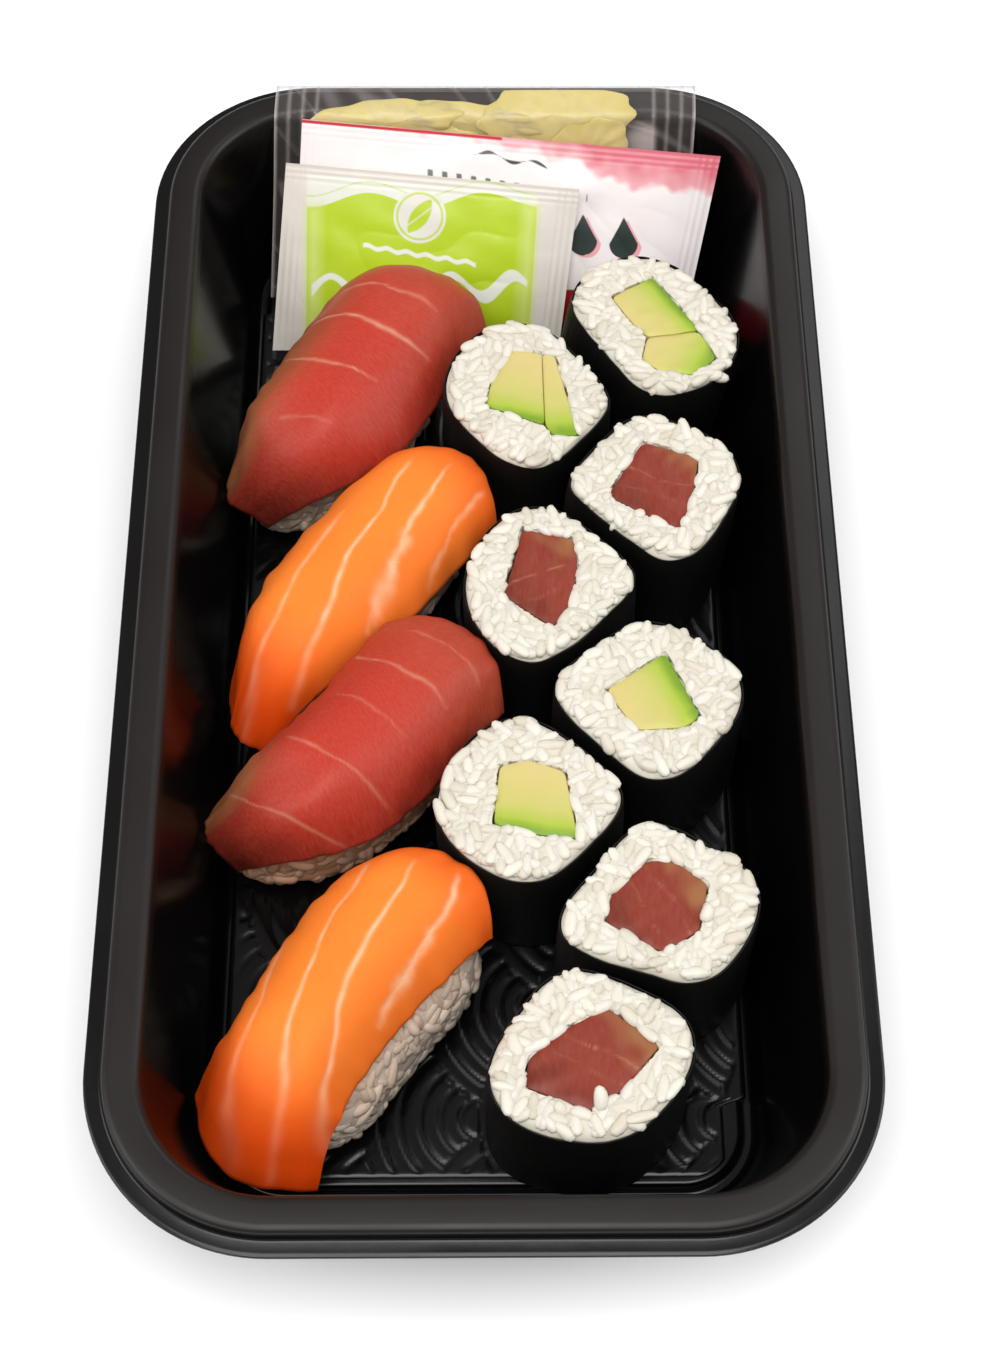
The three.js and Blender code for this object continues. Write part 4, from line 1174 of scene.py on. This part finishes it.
def under_slice(piece, u, v):
    """Height just under the slice, level with its rim beyond it."""
    u, v = np.clip(u, -1, 1), np.clip(v, -1, 1)
    normal = face_normal(piece, u, v)
    return crest_height(piece, u, v) - (slice_depth(u, v) + GAP) / np.clip(normal[..., 2], 0.5, 1)


def block_skin(piece, angle, s):
    """The pressed block's skin at an angle: s runs up its side, which bulges and draws in by
    the block's levels, as far as `side`, then in over its shoulder under the slice. The side
    ends where it meets the slice's underside, and at least at the lowest rise."""
    side, lowest, near_top = 0.75, 3, 13.0
    # How far the shoulder draws in, in millimetres and then as a share of the way to the
    # middle, and how fast it may rise with that share.
    shoulder, inward, slope = 1.6, 0.75, 9
    inset_at, height_at = np.array(RICE_BLOCK["levels"], float).T
    u, v = rice_outline(piece, np.interp(near_top, height_at, inset_at), angle)
    rim = np.clip(under_slice(piece, u, v) - FOOT, lowest, height_at[-1])
    climb = np.clip(s / side, 0, 1)
    rise = rim * climb
    share = 1 - inward * np.clip((s - side) / (1 - side), 0, 1)
    inset = np.interp(rise, height_at, inset_at) + shoulder * smooth_step(climb, 0.7, 1)
    u, v = rice_outline(piece, inset, angle)
    u, v = u * share, v * share
    under = np.clip(under_slice(piece, u, v) - FOOT, lowest, height_at[-1])
    rise = np.where(s > side, np.minimum(under, rim + slope * (1 - share)), rise)
    return np.concatenate([plan_point(piece, u, v), (FOOT + rise)[..., None]], -1)


def skin_frame(piece, angle, s):
    """Point of the skin, its way round the block, its way up it and its outward normal."""
    step = 0.01
    here = block_skin(piece, angle, s)
    way_round = unit(
        block_skin(piece, angle + step, s) - block_skin(piece, angle - step, s))
    low, high = np.clip(s - step, 0, 1), np.clip(s + step, 0, 1)
    way_up = block_skin(piece, angle, high) - block_skin(piece, angle, low)
    normal = unit(np.cross(way_round, way_up))
    return here, way_round, np.cross(normal, way_round), normal


def angle_round(piece, share):
    """The angle at a share of the way round the block's outline, halfway up its side."""
    angle = np.linspace(0, 2 * np.pi, 721)
    length = path_lengths(block_skin(piece, angle, np.full(angle.size, 0.4)))
    return np.interp(share % 1, length / length[-1], angle)


def nigiri_core(piece, index):
    """The pressed block: its skin, set in under the grains and dimpled, on a flat foot."""
    angle, s = np.meshgrid(full_turn(120), np.linspace(0, 1, 30))
    here, _, _, normal = skin_frame(piece, angle, s)
    sink = 1.0 - 0.25 * waves(angle * 13, here[..., 2], 3.6, 60 + index)
    rings = here - normal * (sink * smooth_step(s, 0.01, 0.1))[..., None]
    foot_sink = 0.9
    rings[0, :, :2] -= normal[0, :, :2] * foot_sink
    # The core takes a low tone, painted shade between the grains, and the piece's painted warm
    # light bounced from the fish.
    return ring_solid(rings, tint=0.3, stain=piece["stain"])


def block_grains(piece, index, settings):
    """Grains pressed flat against the block's skin, up its side and over its shoulder, lying
    anyhow in it, and kept clear of the tray's floor."""
    random = np.random.default_rng(500 + index)
    columns, rows, jitter_round, jitter_up = 68, 13, 0.45, 0.028
    tilt, sunk, sunk_spread, off_floor = 0.12, 0.25, 0.25, 0.05
    column, s = np.meshgrid(np.arange(columns), np.linspace(0.07, 0.93, rows), indexing="ij")
    share = (column + random.uniform(-jitter_round, jitter_round, s.shape)) / columns
    angle = angle_round(piece, share).ravel()
    s = (s + random.uniform(-jitter_up, jitter_up, s.shape)).ravel()
    here, way_round, way_up, normal = skin_frame(piece, angle, s)
    count = len(s)
    lie = random.uniform(0, np.pi, count)
    size = grain_sizes(settings, count, random)
    axis = way_round * np.cos(lie)[:, None] + way_up * np.sin(lie)[:, None]
    axis = unit(axis + normal * random.normal(0, tilt, count)[:, None])
    side = unit(np.cross(normal, axis))
    centres = here - normal * (sunk + random.normal(0, sunk_spread, count))[:, None]
    half_height = np.abs(axis[:, 2]) * size[:, 0] / 2 + 0.4 * size[:, 1]
    centres[:, 2] = np.maximum(centres[:, 2], TRAY["panel_top"] + off_floor + half_height)
    tint = random.uniform(0, 1, count)
    points, faces, marks = grain_solid(centres, axis, side, size, tint)
    # Painted warm light bounced from the fish, stronger up the side towards the slice.
    stain = piece["stain"] * (0.8 + 0.6 * smooth_step(s, 0.3, 0.8))
    return points, faces, {**marks, "stain": np.repeat(stain, len(points) // count)}


def nigiri_rice(piece, index, settings):
    """Block and grains of one nigiri."""
    return joined([nigiri_core(piece, index), block_grains(piece, index, settings)])


# ------------------------------------------------------------------ sachets


def sachet_edges(sachet, t):
    """Left and right edge of a sachet at a share of the way up."""
    return tuple(foot + (head - foot) * t for foot, head in zip(sachet["foot"], sachet["head"]))


def sachet_frame(sachet, u, v):
    """Middle surface of a sachet and its normal: across from the left edge (u = -1) to the
    right (1), up from foot (v = -1) to head (1) along a smooth curve through the profile. Also
    the millimetres across and up, the distance to the nearer side and that to the top."""
    path = smooth_curve(sachet["profile"], 200)
    length = path_lengths(path)
    s, t = (u + 1) / 2, (v + 1) / 2
    top = np.minimum(1, 1 + (sachet["right_reach"] - 1) * s) * length[-1]
    climb = t * top
    slope = unit(np.gradient(path, axis=0))
    y, z, way_y, way_z = (
        np.interp(climb, length, values[:, k]) for values in (path, slope) for k in (0, 1))
    left, right = sachet_edges(sachet, t)
    x = left + (right - left) * s
    middle = np.stack([x, y, z], -1)
    normal = np.stack([0 * x, -way_z, way_y], -1)
    return middle, normal, x, climb, np.minimum(x - left, right - x), top - climb


def sachet_solid(kind, rows, columns, seed):
    """A flat pouch: the middle surface with each face moved out by the seal's half thickness
    plus the filling, (1 - u^4)(1 - (1 - t)^8)(1 - t^2.5), full over the middle and shut at the
    four seals, lightly wrinkled, with crimps along both sides and the top."""
    sachet = SACHETS[kind]
    u, v = square_grid(rows, columns)
    middle, normal, x, climb, side, top = sachet_frame(sachet, u, v)
    t = (v + 1) / 2
    fill = (1 - u**4) * (1 - (1 - t) ** 8) * (1 - t**2.5)
    half = sachet["seal"] + sachet["swell"] * fill
    side_pitch, top_pitch = 1.3, 1.1
    crimp = np.cos(side * 2 * np.pi / side_pitch) * smooth_step(-side, -4.2, -3.6)
    crimp = crimp + 0.6 * np.cos(top * 2 * np.pi / top_pitch) * smooth_step(-top, -3.2, -2.8)
    wrinkle = 0.13 * waves(x, climb, 9, seed) * (0.3 + fill) + 0.07 * crimp
    wrinkle = wrinkle + 0.3 * fill * np.abs(waves(x + 0.5 * climb, climb, 15, seed + 3)) ** 0.7
    upper = middle + normal * (half + wrinkle)[..., None]
    lower = middle - normal * half[..., None]
    prints = {"ginger": film_marks, "soy": soy_print, "wasabi": wasabi_print}
    return slab_solid(upper, lower, prints[kind](x, climb, side, top))


def film_marks(x, y, side, top):
    """How much of the clear film shows: milky fine lines along the crimps, whitish patches of
    painted shine in the empty pockets beside the ginger, where a slow noise is high, and a few
    milky creases, thin lines where another noise crosses nought."""
    pitch = 2.6
    crimp = np.exp(-(((side / pitch - np.round(side / pitch)) * pitch / 0.3) ** 2))
    # Painted shine: whitish patches where a slow noise is high.
    patch = smooth_step(waves(x * 1.3 + 0.5 * y, y * 0.6, 15, 12), 0.1, 0.8)
    crease = np.exp(-((waves(x + 0.7 * y, 0.5 * y, 19, 15) / 0.05) ** 2))
    pocket = smooth_step(side, 15, 9) * smooth_step(side, 6.5, 8.5)
    edge = smooth_step(-side, -0.5, -0.2) + smooth_step(-top, -0.5, -0.2)
    milky = 0.04 + 0.16 * crimp * (side < 9.6) + (0.5 * patch + 0.25 * crease) * pocket
    return {"milky": np.clip(milky + 0.1 * crease + 0.3 * edge, 0, 0.8)}


def soy_print(x, y, side, top):
    """Inked shapes of the soy pouch: a thin red line along the top, a water-colour wash whose
    lower edge wanders, a thin brush line, a dashed line, two drops with their shades and a red
    foot. Each mark is the distance inside its shape."""
    wander = 0.9 * waves(x, y * 0.4, 9, 5) + 0.45 * waves(x, y, 2.4, 6)
    depth = 0.5 + 1.6 * smooth_step(x, 0, 6) + 4.4 * smooth_step(x, 17, 23) + wander
    wash = np.minimum(depth - top, x + 16)
    dash_line = 28.4 - 0.155 * (x + 10.4)
    dashes = np.minimum(0.75 - np.abs(y - dash_line), 0.5 - np.abs(x % 2.7 - 1.35))

    def drop(cx, cy, radius):
        high = np.clip((y - cy) / (1.9 * radius), 0, 1)
        low = np.clip((cy - y) / radius, 0, 1)
        inside = radius * np.where(y > cy, (1 - high) ** 1.1, np.sqrt(1 - low**2)) - np.abs(x - cx)
        return np.where((y > cy + 1.9 * radius) | (y < cy - radius), -1.0, inside)

    return {
        "wash": wash,
        "deep_wash": np.minimum(wash - 2.2 + 0.7 * waves(x * 0.6, y, 3, 8), x - 12),
        "edge_line": np.minimum(0.3 - np.abs(top - 0.35), 4 - x),
        "brush": np.minimum.reduce([
            0.2 + 0.14 * np.sin(x * 1.3) - np.abs(y - 31.9 + 0.2 * x - 0.5 * np.sin(x * 0.8)),
            x + 1.5, 12.5 - x]),
        "dashes": np.minimum.reduce([dashes, x + 10.4, 20 - x]),
        "drops": np.maximum(drop(19.2, 15.8, 2.7), drop(26.9, 15.2, 2.7)),
        "drop_shade": np.maximum(drop(19.9, 15.3, 2.7), drop(27.6, 14.7, 2.7)),
        "red_foot": 6.6 - y,
    }


def wasabi_print(x, y, side, top):
    """Inked shapes of the wasabi pouch: a green field with a scalloped top between its seals,
    a round medal with a ring and an almond leaf, where two circles overlap, a pale line above
    the scallops and a broad wavy brush stroke. Each mark is the distance inside its shape."""
    scallop = 28.3 + 1.3 * np.cos((x + 21) * 2 * np.pi / 21.4)
    left, right = x + 32.2 + 0.03 * (33 - y), 10.6 - 0.06 * (29 - y) - x
    field = np.minimum.reduce([left, right, scallop - y, y - 3.5])
    medal_x, medal_y = x + 11.4, y - 25.3
    away = np.hypot(medal_x, medal_y)
    leaf = 5.2 - np.maximum(
        np.hypot(medal_x - 2.9, medal_y + 2.1), np.hypot(medal_x + 2.9, medal_y - 2.1))
    stroke = 1.1 + 0.5 * np.sin(x * 0.5) - np.abs(y - 12.4 - 1.9 * np.sin((x + 31) * 0.55))
    small = 0.42 - np.abs(y - 18.2 + 0.16 * (x + 11) - 0.25 * np.sin(x * 1.7))
    small = np.minimum.reduce([small, x + 22, -1 - x])
    return {
        "pale_zone": np.minimum.reduce([left, right, top - 1.6]),
        "field": field,
        # Painted sheen: lighter green along the field's sides, by the seals.
        "sheen": np.minimum(field, 2.6 - np.minimum(left, right)),
        "hairline": np.minimum.reduce([0.14 - np.abs(y - scallop - 2.0), left, right]),
        "medal": 4.9 - away,
        "ring": 0.22 - np.abs(away - 4.2),
        "leaf": leaf,
        "vein": np.minimum(0.14 - np.abs(medal_y * 0.81 - medal_x * 0.58), leaf),
        "strokes": np.minimum(np.maximum(stroke, small), field - 1),
    }


def ginger_shavings(sachet):
    """Thin shavings in the pouch: ovals whose outline wanders by a tenth, laid on the middle
    surface, lifted by their layer, a slow wave and folds that fan out towards the edge;
    height sqrt(1 - r^8) rounds the edge."""
    share = np.array([0.02, 0.3, 0.55, 0.75, 0.88, 0.96, 1.0])
    face = np.repeat([1.0, -1.0], len(share))[:, None]
    share = np.concatenate([share, share[::-1]])[:, None]
    angle = full_turn(64)[None]
    bag_height = 41.1
    solids = []
    for k, (x0, y0, length, width, turn, layer) in enumerate(GINGER):
        wander = 1 + 0.07 * np.sin(3 * angle + k) + 0.05 * np.sin(5 * angle + 2.3 * k)
        wander = wander + 0.03 * np.sin(11 * angle + 1.7 * k)
        fan = 0.22 * share**2 * np.sin(9 * angle + 2.5 * np.sin(2 * angle + k))
        a, b = length * share * wander * np.cos(angle), width * share * wander * np.sin(angle)
        c, s = direction(np.radians(turn))
        x, y = x0 + a * c - b * s, y0 + a * s + b * c
        y = np.clip(y, 1.5, bag_height - 0.7)
        t = y / bag_height
        left, right = sachet_edges(sachet, t)
        middle, normal, *_ = sachet_frame(sachet, 2 * (x - left) / (right - left) - 1, 2 * t - 1)
        room = smooth_step(bag_height + 0.4 - y, 0, 12)
        rise = room * (layer + 0.5 * waves(x, y, 11, 30 + k) + fan)
        rise = rise + 0.13 * face * (1 - share**8) ** 0.5
        points, faces, _ = ring_solid(middle + normal * rise[..., None])
        solids.append((points, faces, {"thin": np.repeat(share**5, angle.size)}))
    return joined(solids)


# ------------------------------------------------------------------ settings


class TraySettings(bpy.types.PropertyGroup):
    emboss_depth: FloatProperty(
        name="Emboss depth", description="Depth of the rings pressed into the floor",
        default=0.27 * MM, min=0, unit="LENGTH")
    floor_step: FloatProperty(
        name="Floor detail", description="Distance between points of the floor's surface",
        default=0.5 * MM, min=0.3 * MM, unit="LENGTH")


class RiceSettings(bpy.types.PropertyGroup):
    grain_length: FloatProperty(
        name="Grain length", description="Length of a cooked grain of rice",
        default=5.0 * MM, min=3 * MM, unit="LENGTH")
    grain_width: FloatProperty(
        name="Grain width", description="Width of a cooked grain of rice",
        default=2.2 * MM, min=1 * MM, unit="LENGTH")


class FishSettings(bpy.types.PropertyGroup):
    rows: IntProperty(
        name="Rows", description="Points along a slice of fish", default=150, min=20)
    columns: IntProperty(
        name="Columns", description="Points across a slice of fish", default=90, min=10)


class StageSettings(bpy.types.PropertyGroup):
    lens: FloatProperty(
        name="Lens", description="Focal length for a 36 mm sensor, in millimetres",
        default=64.2, min=10)
    floor_colour: FloatVectorProperty(
        name="Floor", description="Colour of the studio floor", subtype="COLOR", size=4, min=0,
        max=1, default=linear("#ffffff"))


# ------------------------------------------------------------------ operators


class SUSHI_OT_stage(bpy.types.Operator):
    """Set up the floor, the lights and the camera"""

    bl_idname = "sushi.stage"
    bl_label = "Stage"

    def execute(self, context):
        settings = context.scene.sushi_stage
        scene = context.scene
        scene.view_settings.view_transform = "Standard"
        bpy.ops.mesh.primitive_plane_add(size=12, location=(0, 0, 0))
        floor = context.object
        floor.name = "studio_floor"
        material, add, _ = new_material("studio_floor")
        add("OutputMaterial", {"Surface": add("BsdfPrincipled", {
            "Base Color": settings.floor_colour, "Roughness": 0.9, "Specular IOR Level": 0.1})})
        floor.data.materials.append(material)
        scene.world = bpy.data.worlds.new("studio")
        scene.world.use_nodes = True
        background = scene.world.node_tree.nodes["Background"]
        background.inputs["Color"].default_value = (1, 1, 1, 1)
        background.inputs["Strength"].default_value = AMBIENT
        for name, place, size, power in LIGHTS:
            data = bpy.data.lights.new(name, "AREA")
            data.size, data.energy = size, power
            light = bpy.data.objects.new(name, data)
            scene.collection.objects.link(light)
            light.location = place
            light.rotation_euler = (-Vector(place)).to_track_quat("-Z", "Y").to_euler()
        camera_data = bpy.data.cameras.new("camera")
        camera_data.lens = settings.lens
        camera = bpy.data.objects.new("camera", camera_data)
        scene.collection.objects.link(camera)
        pitch, yaw, roll = CAMERA["pitch"], CAMERA["yaw"], CAMERA["roll"]
        ahead = np.append(np.cos(pitch) * direction(yaw)[::-1], -np.sin(pitch))
        right = np.array([np.cos(yaw), -np.sin(yaw), 0])
        up = np.cross(right, ahead)
        axes = np.eye(4)
        axes[:3, 0] = np.cos(roll) * right + np.sin(roll) * up
        axes[:3, 1] = np.cos(roll) * up - np.sin(roll) * right
        axes[:3, 2] = -ahead
        axes[:3, 3] = np.array(CAMERA["place"]) * MM
        camera.matrix_world = Matrix(axes.tolist())
        scene.camera = camera
        return {"FINISHED"}


class SUSHI_OT_tray(bpy.types.Operator):
    """Build the black tray with its embossed floor"""

    bl_idname = "sushi.tray"
    bl_label = "Tray"

    def execute(self, context):
        settings = context.scene.sushi_tray
        solid = joined([
            tray_shell(), floor_panel(settings.floor_step / MM, settings.emboss_depth / MM)])
        add_piece("tray_shell", solid, black_tray_plastic(), ["tray"], sharp=60)
        return {"FINISHED"}


class SUSHI_OT_rolls(bpy.types.Operator):
    """Build the eight rolls: rice, nori and fillings"""

    bl_idname = "sushi.rolls"
    bl_label = "Rolls"

    def execute(self, context):
        rice, nori = steamed_rice(), toasted_seaweed()
        inside = {"avocado": avocado_flesh(), "tuna": raw_fish("raw_tuna_cut")}
        for index in range(len(ROLLS)):
            name = f"maki_{index + 1}"
            add_piece(
                f"{name}_packed_rice", roll_rice(index, context.scene.sushi_rice), rice,
                [f"{name}_rice"], sharp=80)
            add_piece(f"{name}_sheet", roll_skin(index), nori, [f"{name}_nori"])
            for part, (outline, way, power) in FILLINGS[index].items():
                kind = part.split("_")[0]
                solid = roll_filling(index, outline, way, power, kind)
                add_piece(f"{name}_{part}_stick", solid, inside[kind], [f"{name}_{part}"])
        return {"FINISHED"}


class SUSHI_OT_nigiri(bpy.types.Operator):
    """Build the four nigiri: pressed rice and slices of fish"""

    bl_idname = "sushi.nigiri"
    bl_label = "Nigiri"

    def execute(self, context):
        settings = context.scene.sushi_fish
        rice = bpy.data.materials.get("steamed_rice") or steamed_rice()
        materials = {fish: raw_fish(f"raw_{fish}") for fish in ("tuna", "salmon")}
        for index, piece in enumerate(NIGIRI):
            name, fish = f"nigiri_{index + 1}", piece["fish"]
            add_piece(
                f"{name}_packed_rice", nigiri_rice(piece, index, context.scene.sushi_rice), rice,
                [f"{name}_rice"], sharp=80)
            solid = fish_slice(piece, index, settings.rows, settings.columns)
            add_piece(
                f"{name}_slice", solid, materials[fish], [f"{name}_{fish}"], sharp=70)
        return {"FINISHED"}


class SUSHI_OT_sachets(bpy.types.Operator):
    """Build the three sachets"""

    bl_idname = "sushi.sachets"
    bl_label = "Sachets"

    def execute(self, context):
        materials = {
            "ginger": clear_film(),
            "soy": printed_film("printed_film_soy", ("#eae1df", "#f4ecea"), SOY_INKS),
            "wasabi": printed_film("printed_film_wasabi", ("#d4ccc2", "#dfd8cf"), WASABI_INKS),
        }
        for number, kind in enumerate(SACHETS):
            solid = sachet_solid(kind, rows=230, columns=120, seed=90 + number)
            add_piece(
                f"sachet_{kind}_pouch", solid, materials[kind],
                [f"sachet_{kind}"])
        add_piece(
            "sachet_ginger_shavings", ginger_shavings(SACHETS["ginger"]), pickled_ginger(),
            ["sachet_ginger"])
        return {"FINISHED"}


class SUSHI_PT_panel(bpy.types.Panel):
    """Buttons and sizes of the sushi tray"""

    bl_idname = "SUSHI_PT_panel"
    bl_label = "Sushi tray"
    bl_space_type = "VIEW_3D"
    bl_region_type = "UI"
    bl_category = "Sushi tray"

    def draw(self, context):
        for setting, group in SETTINGS.items():
            for name in group.__annotations__:
                self.layout.prop(getattr(context.scene, setting), name)
        for operator in OPERATORS:
            self.layout.operator(operator.bl_idname)


SETTINGS = {
    "sushi_tray": TraySettings,
    "sushi_rice": RiceSettings,
    "sushi_fish": FishSettings,
    "sushi_stage": StageSettings,
}
OPERATORS = (SUSHI_OT_stage, SUSHI_OT_tray, SUSHI_OT_rolls, SUSHI_OT_nigiri, SUSHI_OT_sachets)


def register():
    """Registers the classes, and adds the settings to every scene."""
    for group in (*SETTINGS.values(), *OPERATORS, SUSHI_PT_panel):
        bpy.utils.register_class(group)
    for name, group in SETTINGS.items():
        setattr(bpy.types.Scene, name, PointerProperty(type=group))


def unregister():
    """Takes away what register added."""
    for name in SETTINGS:
        delattr(bpy.types.Scene, name)
    for group in (SUSHI_PT_panel, *reversed(OPERATORS), *reversed(SETTINGS.values())):
        bpy.utils.unregister_class(group)


def main():
    """Builds the stage and the pieces."""
    register()
    bpy.ops.sushi.stage()
    bpy.ops.sushi.tray()
    bpy.ops.sushi.rolls()
    bpy.ops.sushi.nigiri()
    bpy.ops.sushi.sachets()


if __name__ == "__main__":
    main()
